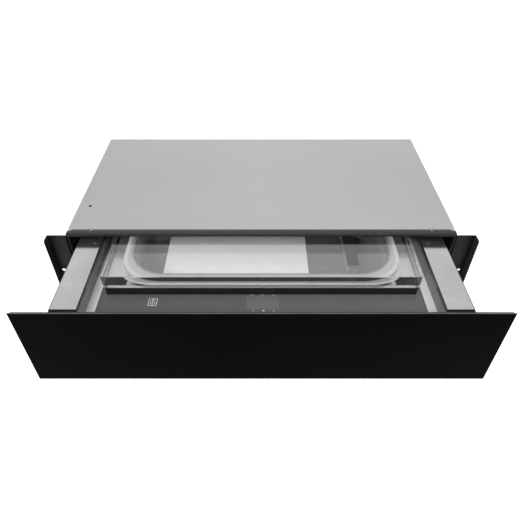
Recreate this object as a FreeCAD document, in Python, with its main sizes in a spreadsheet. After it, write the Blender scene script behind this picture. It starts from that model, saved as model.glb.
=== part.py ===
# Vacuum sealing drawer for a 600 mm wide kitchen niche, drawn partly pulled out.
# Frame: X runs to the right, Y from the front panel to the back, Z up from the surface the housing stands on.
# Depths in the sheet are measured from the front face of the front panel.

import FreeCAD, Part
import os
import re
import Sketcher

Vector = FreeCAD.Vector

# Driving dimensions, in millimetres
SIZES = {
    # Overall: the depth runs from the front panel to the tip of the gland at the back
    "overall_depth": 397.0,
    "pull_out": 111.8,
    "panel_gap": 0.5,
    # Front panel
    "panel_width": 595.0,
    "panel_height": 137.2,
    "panel_glass": 4.0,
    "glass_chamfer": 0.4,
    "glass_bevel": 2.5,
    "carrier_thick": 2.0,
    "carrier_inset": 0.6,
    "carrier_drop": 4.0,
    "bumper_x": 292.4,
    "bumper_low": 30.0,
    "bumper_high": 112.0,
    "bumper_radius": 4.4,
    "bumper_thick": 1.6,
    # Housing
    "housing_width": 544.0,
    "housing_top": 139.8,
    "housing_back": 387.0,
    "sheet": 1.2,
    "cover_sheet": 1.0,
    "feet_height": 2.0,
    "feet_radius": 8.0,
    "feet_inset": 30.0,
    "bend": 2.0,
    "top_flange": 14.0,
    "shell_front": 136.6,
    "nose_front": 133.0,
    "nose_back": 144.0,
    "nose_drop": 3.5,
    "nose_round": 3.2,
    "nose_inner_round": 2.0,
    "cover_corner": 5.0,
    "notch_place": 239.0,
    "notch_width": 2.4,
    "notch_depth": 1.6,
    "cover_hole_x": 255.0,
    "cover_hole_depth": 196.0,
    "cover_hole_radius": 2.2,
    "rear_fold": 10.0,
    "vent_length": 22.0,
    "vent_height": 3.0,
    "vent_pitch": 30.0,
    "vent_low": 92.0,
    "vent_high": 104.0,
    # Mounting flanges beside the housing
    "flange_sheet": 1.5,
    "flange_front": 131.0,
    "lip_front": 119.8,
    "flange_leg_back": 165.0,
    "flange_leg_top": 136.0,
    "flange_foot": 4.0,
    "flange_top": 139.4,
    "lip_chamfer": 2.2,
    "screw_spacing": 580.0,
    "screw_hole_radius": 3.0,
    "screw_hole_height": 71.3,
    # Screws at the housing's sides
    "screw_radius": 2.0,
    "screw_head_radius": 3.8,
    "screw_head": 2.0,
    "screw_low": 22.0,
    "screw_high": 112.0,
    "flange_screw_depth": 150.0,
    "rear_screw_depth": 381.0,
    # Telescopic slides
    "slide_height": 60.0,
    "slide_front": 138.0,
    "slide_back": 375.0,
    "outer_half": 22.5,
    "outer_sheet": 1.4,
    "outer_reach": 8.8,
    "middle_half": 18.0,
    "middle_sheet": 1.2,
    "middle_near": 2.6,
    "middle_far": 10.2,
    "middle_web": 6.2,
    "inner_half": 13.7,
    "inner_reach": 5.2,
    "inner_front": 20.0,
    "middle_length": 236.0,
    "ball_radius": 1.5,
    "ball_pitch": 19.4,
    "cage_sheet": 0.6,
    "cage_end": 4.0,
    "cage_lap": 1.0,
    "outer_cage_front": 172.0,
    "inner_cage_front": 116.0,
    # Push latch at the back of the housing
    "latch_width": 44.0,
    "latch_low": 50.0,
    "latch_tall": 20.0,
    "latch_deep": 13.4,
    "latch_bore": 4.10,
    "plunger_radius": 4.04,
    "plunger_length": 12.0,
    "plunger_gap": 0.2,
    # Mains gland
    "gland_x": 220.0,
    "gland_height": 30.0,
    "gland_thread": 6.0,
    "gland_flange": 9.0,
    "gland_flange_thick": 3.0,
    "gland_nose": 7.0,
    "gland_bore": 4.0,
    "gland_nut_thick": 4.0,
    "gland_fit": 0.05,
    # Drawer rails and chassis
    "rail_outer": 258.0,
    "rail_inner": 224.4,
    "rail_top": 125.8,
    "rail_front": 16.1,
    "drawer_back": 256.0,
    "rail_bend": 1.2,
    "end_block_drop": 0.8,
    "end_block_foot": 12.0,
    "ledge_inner": 213.4,
    "ledge_top": 95.8,
    "chassis_bottom": 8.0,
    "chassis_front_wall": 88.0,
    "chassis_rear_wall": 92.0,
    "fan_slot_length": 46.0,
    "fan_slot_width": 3.0,
    "fan_slot_pitch": 7.0,
    # Deck that carries the chamber
    "deck_sheet": 2.0,
    "deck_front": 76.4,
    "deck_cut_half": 185.0,
    "deck_cut_front": 80.5,
    "deck_cut_back": 221.0,
    "post_radius": 4.0,
    "post_x": 198.0,
    "post_front": 96.0,
    "post_back": 246.0,
    "skirt_half": 205.0,
    "skirt_sheet": 1.2,
    "skirt_top": 107.6,
    # Chamber
    "lid_front": 64.3,
    "lid_back": 240.3,
    "deck_top": 107.8,
    "flange_thick": 4.0,
    "chamber_half": 176.0,
    "chamber_front": 84.5,
    "chamber_back": 216.5,
    "chamber_corner": 42.0,
    "chamber_wall": 1.5,
    "chamber_floor": 54.0,
    "floor_round": 12.0,
    "rim_round": 5.0,
    # Seal ring round the chamber
    "seal_half": 185.8,
    "seal_front": 69.8,
    "seal_back": 226.0,
    "seal_corner": 44.0,
    "seal_width": 5.6,
    "groove_width": 5.8,
    "groove_depth": 2.5,
    "seal_top": 113.0,
    "seal_round": 1.6,
    # Lid
    "lid_half": 207.3,
    "lid_bottom": 113.1,
    "lid_thick": 16.2,
    "lid_corner": 1.6,
    "lid_chamfer": 0.7,
    # Sealing bar and the strip above it
    "bar_centre": 124.0,
    "bar_width": 13.0,
    "bar_front": 93.2,
    "bar_back": 212.0,
    "bar_bottom": 91.8,
    "bar_top": 105.8,
    "bar_edge": 1.0,
    "tape_inset": 1.2,
    "tape_thick": 0.3,
    "strip_width": 15.0,
    "strip_thick": 3.0,
    "pin_radius": 3.0,
    "pin_fit": 0.05,
    "pin_front": 125.0,
    "pin_back": 192.0,
    "piston_radius": 6.94,
    "piston_bottom": 30.0,
    "piston_thick": 4.0,
    "cylinder_bore": 7.0,
    "cylinder_radius": 9.0,
    "cylinder_bottom": 25.0,
    "cylinder_cap": 2.0,
    # Insert plate in the chamber
    "insert_left": -144.0,
    "insert_right": 70.0,
    "insert_front": 93.6,
    "insert_back": 210.9,
    "insert_top": 60.3,
    "insert_thick": 4.0,
    "insert_corner": 6.0,
    "insert_foot": 5.0,
    "insert_foot_inset": 14.0,
    # Lid hinges
    "hinge_place": 140.0,
    "hinge_width": 40.0,
    "hinge_sheet": 1.5,
    "hinge_grip": 10.0,
    "hinge_axis_depth": 248.5,
    "hinge_axis_height": 121.0,
    "knuckle_radius": 5.5,
    "knuckle_web": 6.0,
    "knuckle_bore": 2.55,
    "hinge_pin": 2.5,
    "lug_gap": 0.3,
    "lug_thick": 4.0,
    "lug_front": 243.2,
    "lug_back": 254.0,
    "lug_top": 127.0,
    "hinge_base_thick": 3.0,
    # Control panel behind the front panel
    "control_half": 213.2,
    "control_front": 17.6,
    "control_back": 76.0,
    "control_thick": 4.0,
    "tray_half": 205.0,
    "tray_bottom": 70.0,
    "tray_wall": 2.0,
    "tray_back": 75.0,
    "board_thick": 1.6,
    "touch_half": 160.0,
    "touch_front": 24.0,
    "touch_back": 68.0,
    "display_half": 21.0,
    "display_front": 42.0,
    "display_back": 64.0,
    "display_thick": 6.0,
    "display_fit": 1.5,
    # Vacuum pump
    "pump_depth": 185.0,
    "pump_height": 32.5,
    "motor_radius": 17.0,
    "motor_bore": 14.5,
    "motor_half": 45.0,
    "motor_end": 3.0,
    "rotor_radius": 12.0,
    "rotor_half": 34.0,
    "shaft_radius": 3.0,
    "shaft_half": 57.0,
    "shaft_fit": 0.05,
    "eccentric_radius": 7.0,
    "eccentric_shift": 2.5,
    "eccentric_half": 4.0,
    "eccentric_place": 53.0,
    "head_length": 36.0,
    "head_half_depth": 20.0,
    "head_half_height": 17.8,
    "head_cavity": 11.0,
    "head_cavity_deep": 16.0,
    "head_cap": 3.0,
    "head_cap_inset": 3.0,
    "bracket_half": 60.0,
    "bracket_half_depth": 25.0,
    "bracket_bottom": 12.7,
    "bracket_sheet": 1.5,
    "saddle_place": 34.0,
    "saddle_half": 5.0,
    "saddle_half_depth": 13.0,
    "saddle_top": 24.0,
    "mount_radius": 6.0,
    "mount_x": 50.0,
    "mount_y": 18.0,
    # Vent valve, chamber port and hose
    "valve_left": 86.0,
    "valve_width": 24.0,
    "valve_half_depth": 15.0,
    "valve_top": 42.0,
    "valve_coil": 9.0,
    "nipple_radius": 3.0,
    "port_bore": 2.0,
    "port_depth": 146.0,
    "port_bottom": 25.0,
    "port_radius": 5.0,
    "hose_radius": 4.6,
    "hose_height": 31.0,
    "barb_length": 6.0,
    # Power board and sealing transformer
    "power_left": -180.0,
    "power_right": -40.0,
    "power_front": 22.0,
    "power_back": 64.0,
    "power_height": 14.2,
    "spacer_radius": 3.0,
    "spacer_inset": 5.0,
    "capacitor_radius": 8.0,
    "capacitor_height": 28.0,
    "capacitor_inset": 20.0,
    "choke_start": 40.0,
    "choke_length": 30.0,
    "choke_front": 8.0,
    "choke_deep": 26.0,
    "choke_tall": 22.0,
    "relay_start": 84.0,
    "relay_length": 28.0,
    "relay_front": 10.0,
    "relay_deep": 14.0,
    "relay_tall": 16.0,
    "core_left": -172.0,
    "core_length": 60.0,
    "core_front": 160.0,
    "core_depth": 46.0,
    "core_height": 34.0,
    "coil_half": 18.0,
    "coil_bulge": 7.0,
    "coil_low": 5.0,
    # Cooling fan, lying flat on the chassis
    "fan_x": -85.0,
    "fan_depth": 122.0,
    "fan_half": 30.0,
    "fan_thick": 15.0,
    "fan_opening": 28.0,
    "fan_hub": 11.0,
    "fan_blade_reach": 26.5,
    "fan_blade_thick": 1.4,
    "fan_blade_height": 10.0,
    "fan_axle": 1.5,
    "fan_axle_fit": 0.05,
    "fan_strut": 3.0,
    "fan_hub_low": 3.0,
    "fan_hub_height": 11.0,
}

BLADE_COUNT = 7
BLADE_PITCH_DEGREES = 32.0
BALLS_PER_ROW = 6
VENTS_PER_ROW = 6
FAN_SLOTS = 7
LEFT = "-1"
RIGHT = "1"
SIDES = (("left", LEFT), ("right", RIGHT))

doc = FreeCAD.newDocument("vacuum_drawer")
dims = doc.addObject("Spreadsheet::Sheet", "Dims")
probe = doc.addObject("App::FeaturePython", "Probe")
probe.addProperty("App::PropertyFloat", "value")
nodes = []


def fill_sheet():
    """One row for each driving dimension: its name and its plain number."""
    for row, (name, value) in enumerate(SIZES.items(), start=1):
        dims.set(f"A{row}", name)
        dims.set(f"B{row}", str(value))
        dims.setAlias(f"B{row}", name)
    doc.recompute()


def spell(text):
    """Writes the sheet's name before each of its aliases in a formula."""
    return re.sub(r"[a-z][a-z_]+", lambda word: "Dims." * (word.group(0) in SIZES) + word.group(0), text)


def number(text):
    """The present value of a formula, for the first guess of a sketch."""
    probe.setExpression("value", spell(text))
    probe.recompute()
    return probe.value


def bind(thing, **formulas):
    """Binds properties to formulas; two underscores stand for a dot in the property's path."""
    for path, text in formulas.items():
        thing.setExpression(path.replace("__", "."), spell(text))


def behind_front(text):
    """A depth behind the front face, as a Y coordinate."""
    return f"({text}) - overall_depth / 2"


def keep(label, thing):
    """Names a finished sub-part and puts it on the list of those that are written."""
    thing.Label = label
    nodes.append(thing)
    return thing


def sided(side, low, high):
    """A stretch along X on the right of the centre plane, or its mirror image on the left."""
    if side == LEFT:
        return (f"-({high})", f"-({low})")
    return (low, high)


# Primitives and booleans

def block(name, x, y, z):
    """A box between pairs of planes; y holds depths behind the front face."""
    box = doc.addObject("Part::Box", name)
    bind(box, Length=f"({x[1]}) - ({x[0]})", Width=f"({y[1]}) - ({y[0]})", Height=f"({z[1]}) - ({z[0]})")
    bind(box, Placement__Base__x=x[0], Placement__Base__y=behind_front(y[0]), Placement__Base__z=z[0])
    return box


def rod(name, axis, radius, start, stop, across, up):
    """A cylinder along one axis; across and up are its other two coordinates, in X, Y, Z order."""
    cylinder = doc.addObject("Part::Cylinder", name)
    bind(cylinder, Radius=radius, Height=f"({stop}) - ({start})")
    if axis == "x":
        cylinder.Placement.Rotation = FreeCAD.Rotation(Vector(0, 1, 0), 90)
        place = (start, behind_front(across), up)
    elif axis == "y":
        cylinder.Placement.Rotation = FreeCAD.Rotation(Vector(1, 0, 0), -90)
        place = (across, behind_front(start), up)
    else:
        place = (across, behind_front(up), start)
    bind(cylinder, Placement__Base__x=place[0], Placement__Base__y=place[1], Placement__Base__z=place[2])
    return cylinder


def ball(name, radius, x, y, z):
    sphere = doc.addObject("Part::Sphere", name)
    bind(sphere, Radius=radius, Placement__Base__x=x, Placement__Base__y=behind_front(y),
         Placement__Base__z=z)
    return sphere


def fuse(name, parts):
    union = doc.addObject("Part::MultiFuse", name)
    union.Shapes = parts
    union.Refine = True
    return union


def cut(name, base, tools):
    """Takes one or more tools away from a base."""
    difference = doc.addObject("Part::Cut", name)
    difference.Base = base
    difference.Tool = tools[0] if len(tools) == 1 else fuse(name + "_tools", tools)
    difference.Refine = True
    return difference


def group(name, parts):
    """Separate solids that are kept together in one node."""
    compound = doc.addObject("Part::Compound", name)
    compound.Links = parts
    return compound


# Bodies made of sketches

def new_body(name):
    """A body whose sketches measure depth from the front face of the panel."""
    body = doc.addObject("PartDesign::Body", name)
    bind(body, Placement__Base__y="-overall_depth / 2")
    return body


def new_sketch(body, role, name, offset="0"):
    sketch = body.newObject("Sketcher::SketchObject", name)
    plane = next(feature for feature in body.Origin.OriginFeatures if feature.Role == role)
    sketch.AttachmentSupport = [(plane, "")]
    sketch.MapMode = "FlatFace"
    bind(sketch, AttachmentOffset__Base__z=offset)
    return sketch


def hold(sketch, kind, index, end, value, text):
    """Binds one coordinate of a point to a formula."""
    constraint = sketch.addConstraint(Sketcher.Constraint(kind, -1, 1, index, end, value))
    sketch.setExpression(f"Constraints[{constraint}]", spell(text))


def add_polygon(sketch, corners):
    """A closed outline with straight sides; each corner is a pair of formulas."""
    points = [Vector(number(x), number(y), 0) for x, y in corners]
    first = sketch.GeometryCount
    last = len(points) - 1
    for index, point in enumerate(points):
        sketch.addGeometry(Part.LineSegment(point, points[(index + 1) % len(points)]), False)
    for index in range(len(points)):
        following = first if index == last else first + index + 1
        sketch.addConstraint(Sketcher.Constraint("Coincident", first + index, 2, following, 1))
    for index, (x, y) in enumerate(corners):
        hold(sketch, "DistanceX", first + index, 1, points[index].x, x)
        hold(sketch, "DistanceY", first + index, 1, points[index].y, y)


def add_round_rectangle(sketch, x, y, radius):
    """A closed rectangle with round corners; x and y are pairs of formulas."""
    west, east, south, north, bend = (number(text) for text in (*x, *y, radius))
    centres = (
        (west + bend, south + bend, 180, x[0], y[0], f"({x[0]}) + ({radius})", f"({y[0]}) + ({radius})"),
        (east - bend, south + bend, 270, x[1], y[0], f"({x[1]}) - ({radius})", f"({y[0]}) + ({radius})"),
        (east - bend, north - bend, 0, x[1], y[1], f"({x[1]}) - ({radius})", f"({y[1]}) - ({radius})"),
        (west + bend, north - bend, 90, x[0], y[1], f"({x[0]}) + ({radius})", f"({y[1]}) - ({radius})"),
    )
    first = sketch.GeometryCount
    for across, along, turn, *_ in centres:
        circle = Part.Circle(Vector(across, along, 0), Vector(0, 0, 1), bend)
        start = FreeCAD.Units.Quantity(turn, FreeCAD.Units.Angle).getValueAs("rad").Value
        quarter = FreeCAD.Units.Quantity(90, FreeCAD.Units.Angle).getValueAs("rad").Value
        sketch.addGeometry(Part.ArcOfCircle(circle, start, start + quarter), False)
    for index in range(4):
        here = sketch.Geometry[first + index].EndPoint
        there = sketch.Geometry[first + (index + 1) % 4].StartPoint
        sketch.addGeometry(Part.LineSegment(here, there), False)
    for index in range(4):
        arc, line = first + index, first + 4 + index
        following = first + (index + 1) % 4
        sketch.addConstraint(Sketcher.Constraint("Tangent", arc, 2, line, 1))
        sketch.addConstraint(Sketcher.Constraint("Tangent", line, 2, following, 1))
    for index in (0, 2):
        hold(sketch, "DistanceX", first + index, 3, centres[index][0], centres[index][5])
        hold(sketch, "DistanceY", first + index, 3, centres[index][1], centres[index][6])
    for index in range(4):
        size = sketch.addConstraint(Sketcher.Constraint("Radius", first + index, bend))
        sketch.setExpression(f"Constraints[{size}]", spell(radius))
    sketch.addConstraint(Sketcher.Constraint("Horizontal", first + 4))


def pad(body, sketch, length, back=False):
    """Raises a sketch along its normal, or the other way."""
    feature = body.newObject("PartDesign::Pad", sketch.Name + "_pad")
    feature.Profile = sketch
    feature.Reversed = back
    bind(feature, Length=length)
    doc.recompute()
    return feature


def pocket(body, sketch, length, back=False):
    """Sinks a sketch into the body and makes sure that it took something away."""
    before = body.Shape.Volume
    feature = body.newObject("PartDesign::Pocket", sketch.Name + "_pocket")
    feature.Profile = sketch
    feature.Reversed = back
    bind(feature, Length=length)
    doc.recompute()
    if not body.Shape.Volume < before:
        raise ValueError(f"{sketch.Name} took nothing away")
    return feature


def edge_names(shape, wanted):
    """The names of the edges whose bounding box passes a test."""
    return [f"Edge{index}" for index, edge in enumerate(shape.Edges, start=1) if wanted(edge)]


def soften(body, kind, size, wanted):
    """A fillet or chamfer on the edges that pass a test."""
    base = body.Tip
    names = edge_names(base.Shape, wanted)
    if not names:
        raise ValueError(f"no edge to soften on {body.Name}")
    feature = body.newObject(f"PartDesign::{kind}", f"{body.Name}_{kind.lower()}")
    feature.Base = (base, names)
    bind(feature, **{"Radius" if kind == "Fillet" else "Size": size})
    doc.recompute()
    if feature.Shape.isNull():
        raise ValueError(f"{feature.Name} did not build")
    return feature


def runs_along(edge, axis):
    """Whether a straight edge is parallel to an axis."""
    box = edge.BoundBox
    spans = {"x": box.XLength, "y": box.YLength, "z": box.ZLength}
    return spans.pop(axis) > 0.01 and all(span < 0.001 for span in spans.values())


def at(value, target):
    return abs(value - target) < 0.01


def level_at(edge, height):
    """Whether an edge lies in one level plane."""
    return at(edge.BoundBox.ZMin, height) and at(edge.BoundBox.ZMax, height)


# Front panel

def front_glass():
    """Glass with a broken front edge; its top rear edge is bevelled, so that it looks thin from above."""
    body = new_body("front_glass")
    outline = new_sketch(body, "XZ_Plane", "front_glass_outline")
    half = "panel_width / 2"
    top = "panel_gap + panel_height"
    add_polygon(outline, [(f"-{half}", "panel_gap"), (half, "panel_gap"), (half, top), (f"-{half}", top)])
    pad(body, outline, "panel_glass", back=True)
    soften(body, "Chamfer", "glass_chamfer", lambda edge: at(edge.BoundBox.YMax, 0))
    crest, rear = number(top), number("panel_glass")
    soften(body, "Chamfer", "glass_bevel",
           lambda edge: runs_along(edge, "x") and level_at(edge, crest) and at(edge.BoundBox.YMin, rear))
    keep("front_glass", body)


def front_carrier():
    body = new_body("front_carrier")
    outline = new_sketch(body, "XZ_Plane", "front_carrier_outline", "-panel_glass")
    half = "(panel_width / 2 - carrier_inset)"
    low = "panel_gap + carrier_inset"
    high = "panel_gap + panel_height - carrier_drop"
    add_polygon(outline, [(f"-{half}", low), (half, low), (half, high), (f"-{half}", high)])
    pad(body, outline, "carrier_thick", back=True)
    keep("front_carrier", body)


def bumpers():
    """Four soft pads behind the panel, opposite the lips of the mounting flanges."""
    pads = []
    back = "panel_glass + carrier_thick"
    places = [(x, z) for x in ("-bumper_x", "bumper_x") for z in ("bumper_low", "bumper_high")]
    for index, (x, z) in enumerate(places):
        pads.append(rod(f"bumper_{index}", "y", "bumper_radius", back, f"{back} + bumper_thick", x, z))
    keep("front_bumpers", group("front_bumpers", pads))


def rail_end_block(name, side):
    x = sided(side, "rail_inner + rail_bend / 2", "rail_outer - rail_bend / 2")
    y = ("panel_glass + carrier_thick", "rail_front")
    z = ("end_block_foot", "rail_top - end_block_drop")
    keep(f"rail_end_block_{name}", block(f"rail_end_block_{name}", x, y, z))


# Housing

def housing_shell():
    """Bottom, side walls and top flanges, folded from one sheet, with holes for the side screws."""
    body = new_body("housing_shell_body")
    profile = new_sketch(body, "XZ_Plane", "housing_profile", "-shell_front")
    wide, inner = "housing_width / 2", "(housing_width / 2 - sheet)"
    low, floor = "feet_height", "(feet_height + sheet)"
    high = "(housing_top - cover_sheet)"
    rim, reach = f"({high} - sheet)", "(housing_width / 2 - top_flange)"
    right = [(wide, low), (wide, high), (reach, high), (reach, rim), (inner, rim), (inner, floor)]
    left = [(f"-{x}", z) for x, z in reversed(right)]
    add_polygon(profile, right + left)
    pad(body, profile, "housing_back - cover_sheet - shell_front", back=True)
    bottom = number("feet_height")
    outside = number(wide)
    soften(body, "Fillet", "bend",
           lambda edge: runs_along(edge, "y") and level_at(edge, bottom) and at(abs(edge.BoundBox.XMax),
                                                                                outside))
    keep("housing_shell", cut("housing_shell", body, side_screw_shanks("shell_hole")))


def side_screw_places():
    """Depth and height of each screw in a side wall, with what lies under its head."""
    return [(depth, height, washer)
            for depth, washer in (("flange_screw_depth", "flange_sheet"), ("rear_screw_depth", "0"))
            for height in ("screw_low", "screw_high")]


def side_screw_shanks(name):
    shanks = []
    for side_name, side in SIDES:
        for index, (depth, height, washer) in enumerate(side_screw_places()):
            x = sided(side, "housing_width / 2 - 3 * sheet", f"housing_width / 2 + {washer}")
            shanks.append(rod(f"{name}_{side_name}_{index}", "x", "screw_radius", x[0], x[1], depth, height))
    return shanks


def housing_screws():
    screws = []
    shanks = side_screw_shanks("screw_shank")
    places = [(side_name, side, place) for side_name,
              side in SIDES for place in enumerate(side_screw_places())]
    for shank, (side_name, side, (index, (depth, height, washer))) in zip(shanks, places):
        x = sided(side, f"housing_width / 2 + {washer}", f"housing_width / 2 + {washer} + screw_head")
        head = rod(f"screw_head_{side_name}_{index}", "x", "screw_head_radius", x[0], x[1], depth, height)
        screws.append(fuse(f"screw_{side_name}_{index}", [shank, head]))
    keep("housing_screws", group("housing_screws", screws))


def housing_rear_panel():
    """Flat plate with folded sides, two rows of vents and the hole of the gland."""
    half = "housing_width / 2"
    back, front = "housing_back", "housing_back - cover_sheet"
    plate = block("rear_plate", (f"-{half}", half), (front, back),
                  ("feet_height", "housing_top - cover_sheet"))
    inside = ("feet_height + sheet", "housing_top - cover_sheet - sheet")
    folds = [block(f"rear_fold_{name}", sided(side, f"{half} - 2 * sheet", f"{half} - sheet"),
                   (f"{front} - rear_fold", front), inside) for name, side in SIDES]
    vents = []
    for row, height in enumerate(("vent_low", "vent_high")):
        for index in range(VENTS_PER_ROW):
            left = f"vent_pitch * {index - VENTS_PER_ROW / 2}"
            vents.append(block(f"vent_{row}_{index}", (left, f"{left} + vent_length"), (front, back),
                               (height, f"{height} + vent_height")))
    gland = rod("gland_hole", "y", "gland_thread + gland_fit", front, back, "-gland_x", "gland_height")
    holes = side_screw_shanks("rear_fold_hole")
    sheet = fuse("rear_panel_sheet", [plate] + folds)
    keep("housing_rear_panel", cut("housing_rear_panel", sheet, vents + [gland] + holes))


def housing_top_cover():
    """Satin sheet with round front corners, two small notches and one hole."""
    body = new_body("top_cover_body")
    outline = new_sketch(body, "XY_Plane", "top_cover_outline", "housing_top - cover_sheet")
    half = "housing_width / 2"
    add_polygon(outline, [(f"-{half}", "nose_back"), (half, "nose_back"),
                          (half, "housing_back"), (f"-{half}", "housing_back")])
    pad(body, outline, "cover_sheet")
    front = number("nose_back")
    soften(body, "Fillet", "cover_corner",
           lambda edge: runs_along(edge, "z") and at(edge.BoundBox.YMin, front))
    thick = ("housing_top - 2 * cover_sheet", "housing_top + cover_sheet")
    notches = [block(f"cover_notch_{name}", sided(side, "notch_place", "notch_place + notch_width"),
                     ("nose_back - notch_depth", "nose_back + notch_depth"), thick) for name, side in SIDES]
    hole = rod("cover_hole", "z", "cover_hole_radius", thick[0], thick[1], "-cover_hole_x",
               "cover_hole_depth")
    keep("housing_top_cover", cut("housing_top_cover", body, notches + [hole]))


def housing_nose():
    """Dark folded strip in front of the top cover."""
    body = new_body("housing_nose")
    profile = new_sketch(body, "YZ_Plane", "nose_profile", "-housing_width / 2")
    top, shelf, low = "housing_top", "housing_top - cover_sheet", "housing_top - nose_drop"
    add_polygon(profile, [("nose_front", low), ("nose_front + sheet", low), ("nose_front + sheet", shelf),
                          ("nose_back", shelf), ("nose_back", top), ("nose_front", top)])
    pad(body, profile, "housing_width")
    front, crest = number("nose_front"), number(top)
    soften(body, "Fillet", "nose_round",
           lambda edge: runs_along(edge, "x") and level_at(edge, crest) and at(edge.BoundBox.YMin, front))
    inner_front, inner_height = number("nose_front + sheet"), number(shelf)
    soften(body, "Fillet", "nose_inner_round",
           lambda edge: runs_along(edge, "x") and level_at(edge, inner_height) and at(edge.BoundBox.YMin,
                                                                                      inner_front))
    keep("housing_nose", body)


def mounting_flange(name, side):
    """Plate beside the housing's front, with a forward lip, a leg on the side wall and a screw hole."""
    body = new_body(f"flange_{name}_body")
    plan = new_sketch(body, "XY_Plane", f"flange_{name}_plan", "flange_foot")
    wall, edge = "housing_width / 2", "panel_width / 2"
    corners = [(wall, "flange_front"), (f"{edge} - flange_sheet", "flange_front"),
               (f"{edge} - flange_sheet", "lip_front"),
               (edge, "lip_front"), (edge, "flange_front + flange_sheet"),
               (f"{wall} + flange_sheet", "flange_front + flange_sheet"),
               (f"{wall} + flange_sheet", "flange_leg_back"),
               (wall, "flange_leg_back")]
    add_polygon(plan, [(f"{side} * ({x})", y) for x, y in corners])
    pad(body, plan, "flange_top - flange_foot")
    top, tip = number("flange_top"), number("lip_front")
    soften(body, "Chamfer", "lip_chamfer",
           lambda line: runs_along(line, "x") and level_at(line, top) and at(line.BoundBox.YMin, tip))
    above_leg = block(f"flange_{name}_step", sided(side, wall, f"{wall} + 2 * flange_sheet"),
                      ("flange_front + flange_sheet", "flange_leg_back + flange_sheet"),
                      ("flange_leg_top", "flange_top"))
    centre = f"{side} * screw_spacing / 2"
    hole = rod(f"flange_{name}_hole", "y", "screw_hole_radius", "flange_front - flange_sheet",
               "flange_front + 2 * flange_sheet", centre, "screw_hole_height")
    shanks = side_screw_shanks(f"flange_{name}_screw")
    keep(f"mounting_flange_{name}", cut(f"mounting_flange_{name}", body, [above_leg, hole] + shanks))


def housing_feet():
    pads = []
    places = [(x, y) for x in ("-(housing_width / 2 - feet_inset)", "housing_width / 2 - feet_inset")
              for y in ("nose_front + feet_inset / 2", "housing_back - feet_inset")]
    for index, (x, y) in enumerate(places):
        pads.append(rod(f"foot_{index}", "z", "feet_radius", "0", "feet_height", x, y))
    keep("housing_feet", group("housing_feet", pads))


def mains_gland():
    """Threaded sleeve with an outer collar and an inner nut; nothing is plugged into it."""
    inner, outer = "housing_back - cover_sheet", "housing_back"
    place = ("-gland_x", "gland_height")
    sleeve = rod("gland_sleeve", "y", "gland_thread", f"{inner} - gland_nut_thick", outer, *place)
    collar = rod("gland_collar", "y", "gland_flange", outer, f"{outer} + gland_flange_thick", *place)
    nose = rod("gland_nose_ring", "y", "gland_nose", outer, "overall_depth", *place)
    nut = rod("gland_nut", "y", "gland_flange", f"{inner} - gland_nut_thick", inner, *place)
    bore = rod("gland_bore_hole", "y", "gland_bore", f"{inner} - 2 * gland_nut_thick",
               "overall_depth + gland_fit", *place)
    keep("mains_gland", cut("mains_gland", fuse("gland_solid", [sleeve, collar, nose, nut]), [bore]))


def push_latch():
    """Latch on the rear panel; its plunger reaches the back of the closed drawer."""
    mouth = "housing_back - cover_sheet - latch_deep"
    middle = "latch_low + latch_tall / 2"
    case = block("latch_case", ("-latch_width / 2", "latch_width / 2"), (mouth, "housing_back - cover_sheet"),
                 ("latch_low", "latch_low + latch_tall"))
    bore = rod("latch_hole", "y", "latch_bore", mouth, "housing_back - cover_sheet", "0", middle)
    keep("latch_body", cut("latch_body", case, [bore]))
    tip = "drawer_back + pull_out + plunger_gap"
    keep("latch_plunger",
         rod("latch_plunger", "y", "plunger_radius", tip, f"{tip} + plunger_length", "0", middle))


# Telescopic slides

def slide_profile(label, side, corners, start, length):
    """A slide member: its profile in X and Z, drawn for the right side, along the depth."""
    body = new_body(label)
    profile = new_sketch(body, "XZ_Plane", f"{label}_profile", f"-({start})")
    add_polygon(profile, [(f"{side} * ({x})", z) for x, z in corners])
    pad(body, profile, length, back=True)
    keep(label, body)


def channel(mouth, web, half, sheet):
    """Corners of a channel: mouth and web are its X limits, half its half height."""
    step = f"({web} - {sheet})" if number(web) > number(mouth) else f"({web} + {sheet})"
    top, bottom = f"(slide_height + {half})", f"(slide_height - {half})"
    return [(mouth, bottom), (web, bottom), (web, top), (mouth, top), (mouth, f"{top} - {sheet}"),
            (step, f"{top} - {sheet}"), (step, f"{bottom} + {sheet}"), (mouth, f"{bottom} + {sheet}")]


def beam(near, web, far, half, sheet):
    """Corners of the middle member: a web with a flange to both sides at top and bottom."""
    top, bottom = f"(slide_height + {half})", f"(slide_height - {half})"
    other = f"({web} + {sheet})"
    return [(near, bottom), (far, bottom), (far, f"{bottom} + {sheet}"), (other, f"{bottom} + {sheet}"),
            (other, f"{top} - {sheet}"), (far, f"{top} - {sheet}"), (far, top), (near, top),
            (near, f"{top} - {sheet}"), (web, f"{top} - {sheet}"), (web, f"{bottom} + {sheet}"),
            (near, f"{bottom} + {sheet}")]


def slides(name, side):
    wall = "(housing_width / 2 - sheet)"
    outer = channel(f"({wall} - outer_reach)", wall, "outer_half", "outer_sheet")
    slide_profile(f"slide_outer_{name}", side, outer, "slide_front", "slide_back - slide_front")
    middle = beam("(rail_outer + middle_near)", "(rail_outer + middle_web)", "(rail_outer + middle_far)",
                  "middle_half", "middle_sheet")
    slide_profile(f"slide_middle_{name}", side, middle, "(slide_front - pull_out / 2)", "middle_length")
    inner = channel("(rail_outer + inner_reach)", "rail_outer", "inner_half", "outer_sheet")
    slide_profile(f"slide_inner_{name}", side, inner, "inner_front", "drawer_back - inner_front")


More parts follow.
